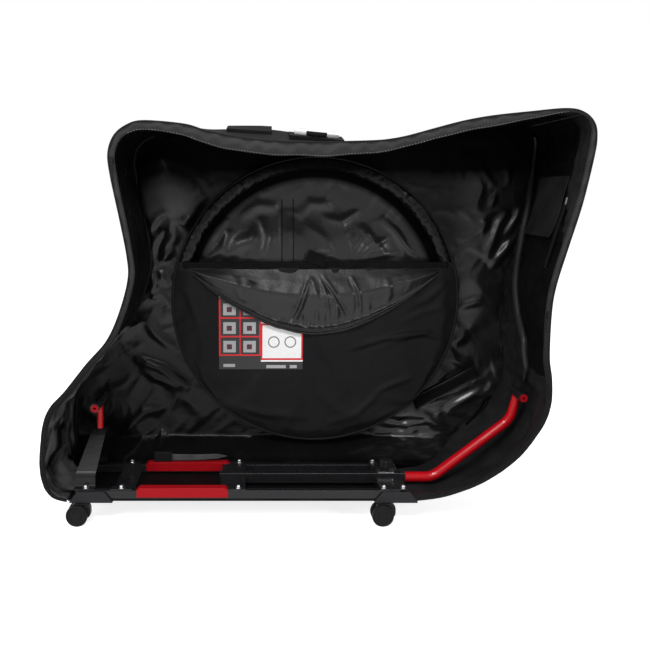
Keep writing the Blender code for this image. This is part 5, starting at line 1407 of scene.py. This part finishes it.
# %% [markdown]
# ## The floor
#
# A thin padded mat covers the floor under the rails. A plane would do for so little of it, but
# it would be as thin as paper from the side, so it is a sandwich like the rest.

# %% The floor mat
floor_flat = coons([(-.5545, -.1197), (.2348, -.1197)], [(-.5545, .0935), (.2348, .0935)],
                   [(-.5545, -.1197), (-.5545, .0935)], [(.2348, -.1197), (.2348, .0935)], 30, 90)
floor_top = np.stack([floor_flat[..., 0], floor_flat[..., 1],
                      np.full(floor_flat.shape[:2], FLOOR_TOP)], axis=2)
floor_low = floor_top.copy()
floor_low[..., 2] = BASE_Z
floor_top[..., 2] -= 0.0012 * (rough(floor_top, 0.05, 71) + 1)
mat = sandwich("floor_mat", floor_top, floor_low, ["lining", "canvas"])
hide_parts("floor_panel")
print("floor mat: %.1f mm thick" % (1000 * (FLOOR_TOP - BASE_Z)))

# %% [markdown]
# ## The rim
#
# Half of the big zip is sewn round the open edge, under a binding that has crept into shallow
# triangular creases. Noise gives waves there, not creases, so a zigzag that shifts its peak
# from one edge of the band to the other folds it instead.

# %% The rim band
line = stations(0.002, outline_way[-1] - 0.002, 0.005)
across = np.linspace(0, 1, 13)
band = np.zeros((len(line), len(across), 3))
probe = np.stack([line[:, 0], np.zeros(len(line)), line[:, 1]], axis=1)
wander = rough(probe, 0.055, 81)
peaks = np.arange(0, outline_way[-1], 0.022)
zigzag = np.interp(line[:, 5] + 0.012 * wander, peaks,
                   np.resize((.30, .78, .42, .85), len(peaks)))[:, None]
crease = np.where(across < zigzag, across / zigzag, (1 - across) / (1 - zigzag))
inward = (line[:, 4] * (1 + 0.09 * wander))[:, None] * across[None, :]
low_line = hung(line)
band[..., 0] = low_line[:, 0, None] - line[:, 2, None] * inward
band[..., 2] = low_line[:, 1, None] - line[:, 3, None] * inward
wide = (line[:, 4] / RIM_WIDTH)[:, None]
band[..., 1] = near_edge(line[:, 1])[:, None] + 0.0004 - wide * crease * 0.0055
under = band.copy()
under[..., 1] = near_edge(line[:, 1])[:, None] + RIM_THICKNESS - 0.0002
rim = sandwich("rim_binding", band, under, ["rim"], 1)
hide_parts("zip_rim")
print("rim: %d stations, %.0f mm wide at most" % (len(line), 1000 * inward.max()))

# %% [markdown]
# Two rows of thread and a bead of piping finish the band. The thread is pale only along the
# top, where the real one is. The teeth of the zip stand side by side just inside the bead.

# %% Stitches, piping and zip teeth
inner_edge = band[:, -2].copy()
inner_edge[:, 1] -= 0.0008
at_top = np.flatnonzero((line[:, 1] > 0.86) & (line[:, 0] > -0.40) & (line[:, 0] < 0.54))
stitches("rim_stitches_top", inner_edge[at_top], (0, -1, 0), "thread", 0.0030)
for name, edge_part in (("rim_stitches_rear", inner_edge[:at_top[0]]),
                        ("rim_stitches_front", inner_edge[at_top[-1] + 1:])):
    stitches(name, edge_part, (0, -1, 0), width=0.0008)
bead = np.stack([low_line[:, 0] - line[:, 2] * 0.0010, near_edge(line[:, 1]) + 0.0012,
                 low_line[:, 1] - line[:, 3] * 0.0010], axis=1)
tube("rim_piping", bead, 0.0024, "piping")
teeth_line = stations(0.03, outline_way[-1] - 0.03, 0.0034)
low_teeth = hung(teeth_line)
teeth = np.stack([low_teeth[:, 0] - teeth_line[:, 2] * 0.0046,
                  near_edge(teeth_line[:, 1]) - 0.0006,
                  low_teeth[:, 1] - teeth_line[:, 3] * 0.0046], axis=1)
outward = np.stack([teeth_line[:, 2], 0 * teeth_line[:, 2], teeth_line[:, 3]], axis=1)
blocks("zip_teeth", teeth, outward, np.broadcast_to((0.0, -1.0, 0.0), teeth.shape),
       (0.0034, 0.0019, 0.0014), "hard_plastic")
print("rim: %d zip teeth" % len(teeth))

# %% [markdown]
# ## The round pocket
#
# The pocket has a puckered hoop all round, a dull front below its mouth, a black hem along the
# mouth, and a satin flap that hangs over the hem in gathers.
# The hoop could be a torus, but cloth round a hoop puckers, so a profile is turned about the
# middle and pushed about on the way.

# %% The hoop of the pocket
FRONT_Y = PANEL_Y - 0.042
turns = np.linspace(0, 2 * math.pi, 480, endpoint=False)
profile = smooth_rows([(0.362, 0.1772), (0.3625, 0.160), (0.358, 0.1425), (0.350, 0.1390),
                       (0.338, 0.1395), (0.330, 0.145), (0.3285, 0.160), (0.329, 0.1772)], 3)
hoop = np.zeros((len(turns), len(profile), 3))
wave = np.stack([np.cos(turns) * 0.35, np.sin(turns) * 0.35, 0 * turns], axis=1)
pucker = creased(wave[:, None] + np.linspace(0, 0.02, len(profile))[None, :, None], 0.012, 91)
soft = rough(wave[:, None] + np.linspace(0, 0.03, len(profile))[None, :, None], 0.06, 93)
ease = np.sin(np.linspace(0, math.pi, len(profile)))[None, :]
radius = profile[None, :, 0] - (0.0035 * pucker + 0.002 * soft) * ease
hoop[..., 0] = POCKET_X + radius * np.cos(turns)[:, None]
hoop[..., 2] = POCKET_Z + radius * np.sin(turns)[:, None]
hoop[..., 1] = profile[None, :, 1] - 0.0030 * pucker * ease + 0.001
rows, columns = hoop.shape[:2]
number = np.arange(rows * columns).reshape(rows, columns)
ahead = np.roll(number, -1, axis=0)
quads = np.stack([number, np.roll(number, -1, 1), np.roll(ahead, -1, 1), ahead], 2)
ring = make_piece("pocket_hoop", hoop.reshape(-1, 3), quads.reshape(-1, 4).tolist(), ["satin"])
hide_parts("pocket_ring")
print("hoop: %d by %d points" % (rows, columns))

# %% [markdown]
# The front is stretched over the hoop and has slack folds, but lies flat under the card, which
# holds it still.

# %% Folds of the pocket's front
FRONT_FOLDS = [
    ([(.115, .366), (.213, .396), (.276, .408), (.315, .409), (.370, .390)], .007, .010),
    ([(.120, .356), (.213, .384), (.290, .396), (.350, .388)], .006, -.006),
    ([(.162, .362), (.239, .388), (.330, .420)], .006, .007),
    ([(.180, .250), (.240, .280), (.290, .300)], .008, .006),
    ([(.260, .470), (.320, .500), (.365, .540)], .008, .007),
    ([(.240, .430), (.300, .462), (.372, .480)], .007, .006),
    ([(-.290, .520), (-.260, .430), (-.240, .330)], .012, .007),
    ([(-.255, .550), (-.235, .470), (-.232, .400)], .010, -.006),
    ([(-.200, .230), (-.100, .200), (.020, .190)], .010, .006),
    ([(.060, .170), (.140, .200), (.200, .250)], .009, .005),
]
print("pocket's front: %d folds" % len(FRONT_FOLDS))

# %% [markdown]
# The front is round below and straight along the mouth, so a square grid is bent to fit
# those four sides. A disc of triangles would fill it too, but cloth wrinkles better on a
# grid. The simulation then lets the slack go.

# %% The shape of the pocket's front
def circle_points(start, end, radius=POCKET_RADIUS - 0.002, count=60):
    """Points on the pocket's circle, from one angle in degrees to another."""
    angles = np.radians(np.linspace(start, end, count))
    return [(POCKET_X + radius * math.cos(a), POCKET_Z + radius * math.sin(a)) for a in angles]


FRONT_ROWS, FRONT_COLUMNS = 62, 84
mouth_angle = math.degrees(math.asin(0.100 / POCKET_RADIUS))
flat = coons(circle_points(225, 315), [(-.3134, .589), (.3794, .589)],
             circle_points(180 - mouth_angle, 225)[::-1], circle_points(mouth_angle, -45)[::-1],
             FRONT_ROWS, FRONT_COLUMNS)
front_grid = upright(flat, FRONT_Y - 0.0006)
x, z = front_grid[..., 0], front_grid[..., 2]
card_area = ((x > -.225) & (x < .018) & (z > .300) & (z < .516)).astype(float)
for _ in range(3):
    card_area = (card_area + np.roll(card_area, 1, 0) + np.roll(card_area, -1, 0)
                 + np.roll(card_area, 1, 1) + np.roll(card_area, -1, 1)) / 5
free = np.outer(edge_fade(FRONT_ROWS, 4), edge_fade(FRONT_COLUMNS, 4))
free = free * np.clip(1 - card_area * 1.15, 0, 1)
height = sum(fold(front_grid, *row) for row in FRONT_FOLDS) + 0.006
height = height + 0.003 * rough(front_grid, 0.12, 95) + 0.002 * creased(front_grid, 0.09, 97)
slack = front_grid.copy()
slack[..., 1] -= height * free
moved = settle(slack, sewn_edges(slack) | (card_area > 0.4), 0.008)
moved[..., 1] = np.clip(moved[..., 1], FRONT_Y - 0.022, FRONT_Y + 0.0002)
front = sandwich("pocket_cloth", moved, moved + (0, 0.0016, 0), ["ripstop"], 1)
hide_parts("pocket_front")
print("pocket's front: %.0f%% of it lies under the card" % (100 * card_area.mean()))

# %% [markdown]
# Piping closes the front's seam, and a thinner cord marks where the hoop is sewn to the back.

# %% Piping of the pocket
lower = circle_points(180 - mouth_angle - 2, 360 + mouth_angle + 2, POCKET_RADIUS - 0.001, 150)
tube("pocket_piping", [(a, FRONT_Y - 0.001, b) for a, b in lower], 0.0034, "piping")
upper = circle_points(0, 360, POCKET_RADIUS - 0.003, 180)[:-1]
tube("pocket_seam", [(a, 0.1405, b) for a, b in upper], 0.0018, "piping", closed=True)
print("pocket's piping: %.2f m" % np.linalg.norm(np.diff(lower, axis=0), axis=1).sum())

# %% [markdown]
# The hem is a flat band with two rows of stitches. It could be a plain strip, but a seam draws
# its cloth in, so small puckers run along it.

# %% The hem
low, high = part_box("pocket_hem")
hem_flat = coons([(low.x - .02, low.z), (high.x + .02, low.z)],
                 [(low.x - .02, high.z), (high.x + .02, high.z)],
                 [(low.x - .02, low.z), (low.x - .02, high.z)],
                 [(high.x + .02, low.z), (high.x + .02, high.z)], 6, 120)
hem_front = upright(hem_flat, low.y)
hem_front[..., 1] += 0.0016 * creased(hem_front, 0.02, 101)
hem_front[..., 2] += 0.0008 * rough(hem_front, 0.03, 102)
hem_back = hem_front.copy()
hem_back[..., 1] = high.y + 0.0005
hem = sandwich("mouth_hem", hem_front, hem_back, ["webbing"], 1)
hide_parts("pocket_hem")
for name, z_stitch in (("hem_stitches_low", low.z + 0.003), ("hem_stitches_high", high.z - 0.003)):
    stitches(name, [(low.x, low.y - 0.0004, z_stitch), (high.x, low.y - 0.0004, z_stitch)],
             (0, -1, 0), width=0.0007)
print("hem: %.2f m long" % (high.x - low.x))

# %% [markdown]
# The flap hangs slack below the hem. Its folds fan out from the tab, and each row places one of
# them from the hem's middle downwards. A simulation of hanging cloth was the other choice, but
# it wouldn't put the fan where the tab pulls.

# %% Folds of the flap
FLAP_FOLDS = [
    ([(-.018, .018), (-.046, .095), (-.077, .150)], .0042, -.0036, 1.6),
    ([(-.014, .018), (-.040, .100), (-.066, .154)], .0050, .0050, 1.6),
    ([(-.008, .030), (-.028, .100), (-.050, .156)], .0040, -.0036, 1.6),
    ([(-.010, .020), (-.002, .050), (.006, .075), (-.004, .130), (-.010, .156)], .0038, .0042,
     1.4),
    ([(.010, .018), (.012, .060), (.002, .090), (-.012, .150)], .0034, -.0032, 1.4),
    ([(.008, .016), (.024, .060), (.034, .110), (.036, .150)], .0040, .0044, 1.6),
    ([(.010, .014), (.040, .060), (.070, .115), (.078, .140)], .0040, -.0044, 1.6),
    ([(.014, .014), (.046, .058), (.078, .110), (.090, .136)], .0042, .0048, 1.6),
    ([(.022, .100), (.020, .150)], .0050, .0045),
    ([(.054, .090), (.052, .146)], .0050, .0045),
    ([(.004, .100), (.006, .152)], .0045, .0040),
    ([(-.030, .105), (-.020, .150)], .0050, .0040),
    ([(.082, .020), (.100, .060), (.104, .095), (.098, .134)], .0040, -.0040, 1.6),
    ([(.088, .016), (.108, .058), (.114, .100), (.110, .132)], .0042, .0048, 1.6),
    ([(-.130, .075), (-.136, .100), (-.126, .124)], .0100, .0050),
    ([(-.160, .030), (-.176, .070), (-.170, .100)], .0100, .0055),
    ([(-.100, .095), (-.094, .140)], .0070, .0045),
    ([(-.200, .018), (-.196, .052), (-.184, .086)], .0080, .0035),
    ([(.130, .080), (.136, .124)], .0070, .0045),
    ([(.180, .022), (.186, .064), (.176, .100)], .0075, .0040),
    ([(.240, .014), (.236, .040), (.226, .064)], .0070, .0030),
]
print("flap: %d folds" % len(FLAP_FOLDS))

# %% [markdown]
# The flap is widest along the hem and drops to a rounded edge. Its side view, a belly that
# swells and tucks in again, comes from a table, and the folds are laid over it.

# %% The hanging flap
low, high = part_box("pocket_valance")
half = (high.x - low.x) / 2
u = np.linspace(-1, 1, 190)[None, :]
v = np.linspace(0, 1, 56)[:, None]
full = 1 - 0.92 * np.abs(u) ** 1.8
drop = (high.z - low.z - 0.001) * full
x = POCKET_X + (half - 0.001) * u + 0 * v
down = drop * v
places = np.stack([x - POCKET_X, 0 * x, down], axis=2)
gathers = sum(fold(places, *row) for row in FLAP_FOLDS)
gathers = gathers + 0.0012 * rough(places, 0.030, 113) + 0.0016 * creased(places, 0.05, 115) * v
belly = np.interp(v, [0, .04, .20, .38, .44, .52, .66, .80, .88, .93, .97, 1],
                  [.04, .14, .58, 1, 1.03, .92, .70, .50, .52, .80, .82, .50])
body = 0.0015 + 0.0250 * belly * np.sqrt(full)
y = high.y - body - gathers * np.sin(np.clip(v * 4, 0, 1) * math.pi / 2) * full
z = high.z - 0.001 - down + 0.003 * rough(places, 0.07, 117) * v * full
flap_grid = np.stack([x, y, z], axis=2)
flap_grid[..., 1] = np.clip(flap_grid[..., 1], low.y - 0.008, high.y)
facing = normals(flap_grid)
facing = facing * -np.sign(facing[..., 1].mean())
flap = sandwich("satin_flap", flap_grid, flap_grid - facing * 0.0012, ["flap_satin"],
                1)
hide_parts("pocket_valance")
print("flap: %.3f m wide, %.3f m deep in its middle" % (2 * half, drop.max()))

# %% [markdown]
# The lower edge of the flap rolls forward, which two pinched cords show. Two straight seams
# run up the mouth behind it, and follow the lining where it has buckled.

# %% The flap's edge and the seams behind it
edge_path = flap_grid[-1] + np.array((0, -0.0006, 0))
pinch = 1 + 0.35 * creased(edge_path, 0.012, 119)
tube("flap_edge", edge_path[2:-2], 0.0028 * pinch[2:-2], "roll_satin")
tube("flap_edge_upper", flap_grid[-5][2:-2] + np.array((0, -0.0012, 0)),
     0.0024 * pinch[::-1][2:-2], "roll_satin")

for name, seam_x in (("mouth_seam_rear", -0.0510), ("mouth_seam_front", -0.0220)):
    run = []
    for seam_z in np.linspace(0.585, 0.745, 40):
        away = np.hypot(back_lining[..., 0] - seam_x, back_lining[..., 2] - seam_z)
        near = np.argsort(away, axis=None)[:6]
        depth = back_lining[..., 1].reshape(-1)[near].mean()
        run.append((seam_x, depth - 0.0010, seam_z))
    tube(name, run, 0.0013, "piping")
print("flap's edge: %.2f m" % np.linalg.norm(np.diff(edge_path, axis=0), axis=1).sum())

# %% [markdown]
# A small tab is folded over the hem to pull it open. It is a crooked four-sided scrap, so its
# four corners are placed and the rest is filled in.

# %% The tab on the hem
tab_outline = [(0.0080, 0.5920), (0.0580, 0.5743), (0.0600, 0.6000), (0.0180, 0.6205)]
tab_grid = coons([tab_outline[0], tab_outline[1]], [tab_outline[3], tab_outline[2]],
                 [tab_outline[0], tab_outline[3]], [tab_outline[1], tab_outline[2]], 14, 18)
tab_front = upright(tab_grid, 0.1255)
tab_front[..., 1] -= 0.0015 * rough(tab_front, 0.03, 121) + 0.001
tab_back = tab_front + np.array((0, 0.0022, 0))
tab = sandwich("hem_tab", tab_front, tab_back, ["webbing"], 1)
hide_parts("pocket_tab")
print("tab: %d by %d points" % tab_grid.shape[:2])

# %% [markdown]
# ## Seams on the back
#
# Piping runs down the back where the front wall joins it, and a double welt crosses the lower
# front corner where a plainer fabric begins. They could be drawn in the material, but a cord
# catches light along its back, so each one is a cord of its own.

# %% Welts of the front corner
def on_back(points, lift=0.002):
    """Places (x, z) on the back's inner face, raised a little, on a smooth curve."""
    path = smooth_rows(points, 6)
    return np.stack([path[:, 0], far_edge(path[:, 1]) - lift, path[:, 1]], axis=1)


tube("welt_upper", on_back([(.498, .233), (.482, .229), (.468, .200), (.436, .160)], 0.010),
     0.0036, "webbing")
tube("welt_lower", on_back([(.492, .220), (.480, .202), (.458, .174)], 0.008), 0.0030,
     "webbing")

# %% [markdown]
# The piping down the front seam is stuffed and swells in the middle of its run. The others are
# thin and even.

# %% Piping of the seams
corner = stations(WALL_ENDS[2] + 0.03, outline_way[-1], 0.008)
corner = corner[corner[:, 1] > 0.312]
depths = np.minimum(seam_share(corner[:, 1]), 0.985)
seam = np.array([wall_points(corner[i:i + 1], depths[i:i + 1], -WALL - 0.009)[0, 0]
                 for i in range(len(corner))])
swollen = 0.0082 * (1 + 0.12 * rough(seam, 0.08, 125)) * np.interp(
    seam[:, 2], [.31, .36, .78, .84], [.35, 1, 1, .5])
tube("front_seam_piping", seam, swollen, "roll_satin", 16)
corner = stations(0.05, WALL_ENDS[1] - 0.02, 0.01)
seam = wall_points(corner, np.array([0.985]), -WALL - 0.003)[:, 0]
tube("rear_seam_piping", seam, 0.0040, "piping")
every = stations(0.004, outline_way[-1] - 0.004, 0.008)
edge_line = np.stack([every[:, 0], far_edge(every[:, 1]) + PANEL * 0.5, every[:, 1]], axis=1)
tube("back_edge_piping", edge_line, 0.0030, "piping")
print("front seam piping: up to %.1f mm thick" % (2000 * swollen.max()))

# %% [markdown]
# ## Straps, flap, tunnel and loop
#
# Small sewn parts are ribbons: a centre line with a width and a thickness. A curve with a flat
# bevel twists where it likes, so the ribbon is told which way lies across it.

# %% Ribbons
def ribbon(name, centre, side, width, thickness, finish, across=6):
    """A flat strap along a smooth line of points. side points across it."""
    path = smooth_rows(centre, 6)
    side = np.array(side, float)
    side /= np.linalg.norm(side)
    offsets = np.linspace(-width / 2, width / 2, across)
    grid = path[:, None] + offsets[None, :, None] * side
    facing = normals(grid)
    return sandwich(name, grid + facing * thickness / 2, grid - facing * thickness / 2,
                    [finish])


print("ribbon: 3 places become %d" % len(smooth_rows([(0, 0, 0), (1, 0, 0), (1, 0, 1)], 6)))

# %% [markdown]
# A webbing strap is sewn across the lower front corner of the back, with stitches and a rolled
# edge on both sides.

# %% The corner strap
direction = Vector((0.455 - 0.306, 0, 0.298 - 0.218)).normalized()
across_strap = (-direction.z, 0, direction.x)
strap = ribbon("corner_strap", [(.300, .1715, .2145), (.340, .1700, .2360), (.385, .1690, .2600),
                                (.430, .1700, .2845), (.460, .1715, .3005)],
               across_strap, 0.030, 0.002, "webbing", 8)
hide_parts("panel_strap")
for name, offset in (("strap_stitches_high", 0.011), ("strap_stitches_low", -0.011)):
    shift = Vector(across_strap) * offset
    ends = [Vector((.303, .1694, .2165)) + shift, Vector((.385, .1674, .2602)) + shift,
            Vector((.457, .1694, .2990)) + shift]
    stitches(name, [tuple(point) for point in ends], (0, -1, 0), width=0.0009)
for name, offset in (("strap_edge_high", 0.0148), ("strap_edge_low", -0.0148)):
    shift = Vector(across_strap) * offset
    run = [Vector(point) + shift for point in ((.302, .1705, .2155), (.340, .1690, .2360),
                                               (.385, .1680, .2600), (.430, .1690, .2845),
                                               (.458, .1705, .2995))]
    tube(name, [tuple(point) for point in run], 0.0019, "roll_satin")

# %% [markdown]
# A smooth flap lies on the front wall. It is a piece of the wall's own surface, lifted off it,
# so that it follows the belly of the wall without any fitting.

# %% The flap on the front wall
flap_line = stations(CORNER_WAYS[1], outline_way[-1], 0.006)
flap_rows = flap_line[(flap_line[:, 1] > 0.655) & (flap_line[:, 1] < 0.803)]
flap_shares = np.linspace(0.215, 0.750, 24)
probe = wall_points(flap_rows, flap_shares, 0.0)
lift = -0.0135 - 0.003 * rough(probe, 0.06, 131)
lift[-3:] -= np.array([0.001, 0.003, 0.004])[:, None]
outer = wall_points(flap_rows, flap_shares, lift)
inner = wall_points(flap_rows, flap_shares, lift - 0.0022)
side = sandwich("wall_flap", outer, inner, ["plain_cloth"], 1)
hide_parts("side_flap")
print("wall flap: %d by %d points" % outer.shape[:2])

# %% [markdown]
# A light rod keeps the front wall upright, in a sewn tunnel. The tunnel is an oval hose that
# wobbles a little, as cloth does round a rod thinner than itself.

# %% The rod's tunnel
tunnel_rows = stations(CORNER_WAYS[1], outline_way[-1], 0.006)
tunnel_rows = tunnel_rows[(tunnel_rows[:, 1] > 0.590) & (tunnel_rows[:, 1] < 0.738)]
middle = np.stack([(tunnel_rows[:, 0] - tunnel_rows[:, 2] * 0.0148), 0 * tunnel_rows[:, 0] - 0.118,
                   tunnel_rows[:, 1] - tunnel_rows[:, 3] * 0.0148], axis=1)
turns = np.linspace(0, 2 * math.pi, 14, endpoint=False)
wobble = 1 + 0.10 * rough(middle, 0.03, 141)
outward = np.stack([tunnel_rows[:, 2], 0 * tunnel_rows[:, 2], tunnel_rows[:, 3]], axis=1)
ring = (np.cos(turns)[None, :, None] * outward[:, None] * 0.0062
        + np.sin(turns)[None, :, None] * np.array((0, 0.0074, 0)))
sleeve_grid = middle[:, None] + ring * wobble[:, None, None]
tunnel = make_piece("rod_tunnel", sleeve_grid.reshape(-1, 3), ring_faces(len(middle), 14),
                    ["lining"])
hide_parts("stiffener_tunnel")
print("rod's tunnel: %d rings" % len(middle))

# %% [markdown]
# A folded loop of webbing is sewn high on the rear wall. Its path goes out and back again, and
# the ribbon does the rest.

# %% The loop on the rear wall
low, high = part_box("strap_loop")
loop_y = (low.y + high.y) / 2
loop_path = [(low.x, loop_y, low.z + .001), (low.x + .007, loop_y, low.z + .0012),
             (high.x - .002, loop_y, low.z + .004), (high.x - .0012, loop_y, low.z + .010),
             (high.x - .003, loop_y, high.z - .003), (low.x + .006, loop_y, high.z - .0012),
             (low.x, loop_y, high.z - .001)]
loop = ribbon("webbing_loop", loop_path, (0, 1, 0), 0.020, 0.0018, "webbing", 5)
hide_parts("strap_loop")
print("loop: %.0f mm of webbing" % (1000 * np.linalg.norm(np.diff(loop_path, axis=0),
                                                         axis=1).sum()))

# %% [markdown]
# A grey tongue of webbing lies along the far rail, with a pointed end and a slight wave. It is
# stood on edge, row by row, because its shape changes along the way.

# %% The tie on the far rail
low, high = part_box("tie_strap")
tie_y = (low.y + high.y) / 2
tie_rows = []
for share in np.linspace(0, 1, 30):
    tie_x = low.x + 0.0005 + (high.x - low.x - 0.001) * share
    foot = low.z + 0.0006 + 0.007 * share ** 2
    head = high.z - 0.0006 - 0.0015 * math.sin(share * math.pi)
    point = np.clip((share - 0.86) / 0.14, 0, 1)
    middle = (foot + head) / 2
    tie_rows.append([(tie_x, tie_y + 0.0010 * math.sin(share * 9), middle + (h - middle)
                      * (1 - 0.97 * point)) for h in np.linspace(foot, head, 7)])
tie_grid = np.array(tie_rows)
tie = sandwich("tie_tongue", tie_grid - (0, 0.0010, 0), tie_grid + (0, 0.0010, 0),
               ["grey_webbing"])
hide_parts("tie_strap")
print("tie: %d rows" % len(tie_rows))

# %% [markdown]
# ## Bolts
#
# Zinc bolts with washers hold the cross members on the rails. A bolt could be a cylinder with
# a cap, but its six sides and the ring of its washer are what the light picks out, so a profile
# is turned with six sides and another with many.

# %% One bolt
WASHER = [(.0074, 0), (.0078, .0003), (.0078, .0013), (.0072, .0016)]
BOLT_HEAD = [(.0056, .0016), (.0058, .0020), (.0058, .0062), (.0050, .0070), (.0030, .0070),
             (.0027, .0040)]


def turned(profile, sides):
    """Points and faces of a profile of (radius, height) turned about Z."""
    turns = np.linspace(0, 2 * math.pi, sides, endpoint=False)
    points = [(r * math.cos(t), r * math.sin(t), h) for r, h in profile for t in turns]
    return np.array(points), ring_faces(len(profile), sides)


def build_bolt(name, place):
    """A hexagon bolt on its washer."""
    washer, washer_faces = turned(WASHER, 28)
    head, head_faces = turned(BOLT_HEAD, 6)
    points = np.vstack([washer, head]) + np.array(place)
    faces = washer_faces + [tuple(i + len(washer) for i in face) for face in head_faces]
    bolt = make_piece(name, points, faces, ["steel"])
    bolt.data.set_sharp_from_angle(angle=math.radians(30))
    return bolt


print("a bolt's head is %.1f mm across" % (2000 * max(radius for radius, _ in BOLT_HEAD)))

# %% [markdown]
# Five bolts stand on each rail. They could be linked copies of one mesh, but ten small meshes
# weigh nothing, and each one then stands where its numbers say.

# %% All the bolts
BOLT_PLACES = (-0.5140, -0.4310, -0.1590, 0.1790, 0.2240)
RAIL_MIDDLES = {"near": -0.1095, "far": 0.0805}
RAIL_TOP = 0.0834
for side_name, rail_y in RAIL_MIDDLES.items():
    for number, bolt_x in enumerate(BOLT_PLACES, 1):
        build_bolt("bolt_%s_%d" % (side_name, number), (bolt_x, rail_y, RAIL_TOP))
print("bolts:", len(BOLT_PLACES) * len(RAIL_MIDDLES))

# %% [markdown]
# ## Studio
#
# The floor and the world are white to the camera. More light would make them white too, but it
# would also bleach the bag, so a Light Path node adds the white only for rays that come from
# the camera, a mirror or glass. The floor keeps the bag's shadow.

# %% Rays that see the background
def direct_rays(bench):
    """1 for rays from the camera, from a mirror or through glass, or else 0."""
    camera_ray = bench.add("ShaderNodeLightPath")
    others = camera_ray.output("Is Glossy Ray") + camera_ray.output("Is Transmission Ray")
    return camera_ray.sum("MINIMUM", camera_ray + others, 1.0)

# %% [markdown]
# The floor is a plain sheet, wide enough that its edge is never seen. It reflects nothing,
# so that only the bag's shadow marks it.

# %% The floor
floor_mesh = bpy.data.meshes.new("studio floor")
floor_mesh.from_pydata([(-30, -30, 0), (30, -30, 0), (30, 30, 0), (-30, 30, 0)], [],
                       [(0, 1, 2, 3)])
studio_floor = bpy.data.objects.new("studio floor", floor_mesh)
scene.collection.objects.link(studio_floor)
recipe = Recipe("studio floor")
grain = recipe.noise(2, 2)
recipe.done(recipe.mix(grain, (0.86, 0.86, 0.86), (0.88, 0.88, 0.88)), 0.9,
            Specular_IOR_Level=0.0, Emission_Color=(1, 1, 1, 1))
glow = recipe.add("ShaderNodeEmission", {}, {"Strength": direct_rays(recipe) * 0.78})
recipe.show(recipe.add("ShaderNodeAddShader", {}, {0: recipe.surface, 1: glow}))
floor_mesh.materials.append(recipe.material)
studio_floor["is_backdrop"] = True
print("studio floor: 60 m square")

# %% [markdown]
# An evenly white world lights the bag softly from all sides. A picture of a studio would
# do the same, but it would be one more file to carry.

# %% The world
world = bpy.data.worlds.new("studio")
scene.world = world
world.use_nodes = True
sky = Bench(world.node_tree)
background = world.node_tree.nodes["Background"]
background.inputs["Color"].default_value = (1, 1, 1, 1)
sky.connect(direct_rays(sky) * 0.65 + 0.35, background.inputs["Strength"])
print("world: 0.35 for the bag, 1 for the camera")

# %% [markdown]
# Large lamps stand high and far, because a small one would put a hard dot on every fold.
# Two of them stand on the left, which gives the satin its highlights.

# %% Lamps
def lamp(name, place, target, size, energy):
    """A soft lamp, wide and high, that faces a target."""
    data = bpy.data.lights.new(name, "AREA")
    data.shape = "RECTANGLE"
    data.size, data.size_y = size
    data.energy = energy
    made = bpy.data.objects.new(name, data)
    made.location = place
    aim = Vector(target) - Vector(place)
    made.rotation_euler = aim.to_track_quat("-Z", "Y").to_euler()
    scene.collection.objects.link(made)
    made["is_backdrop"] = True
    return made


lamp("key lamp", (-0.6, -2.6, 2.5), (0, 0, 0.5), (1.4, 0.45), 62)
lamp("top lamp", (0.3, -0.6, 3.0), (0, 0, 0.4), (1.4, 1.4), 55)
lamp("left lamp", (-2.3, -2.3, 1.5), (0, 0, 0.5), (0.45, 0.9), 34)
lamp("right lamp", (2.4, -2.2, 1.2), (0, 0, 0.4), (0.45, 0.9), 26)
print("lamps:", len(bpy.data.lights))

# %% [markdown]
# ## Finish
#
# The last step prints the size of the dressed model. It could be read off in the viewport, but
# millimetres don't show there.

# %% Size of the dressed model
low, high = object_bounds()
print("dressed: ", [round(v, 4) for v in (*low, *high)])
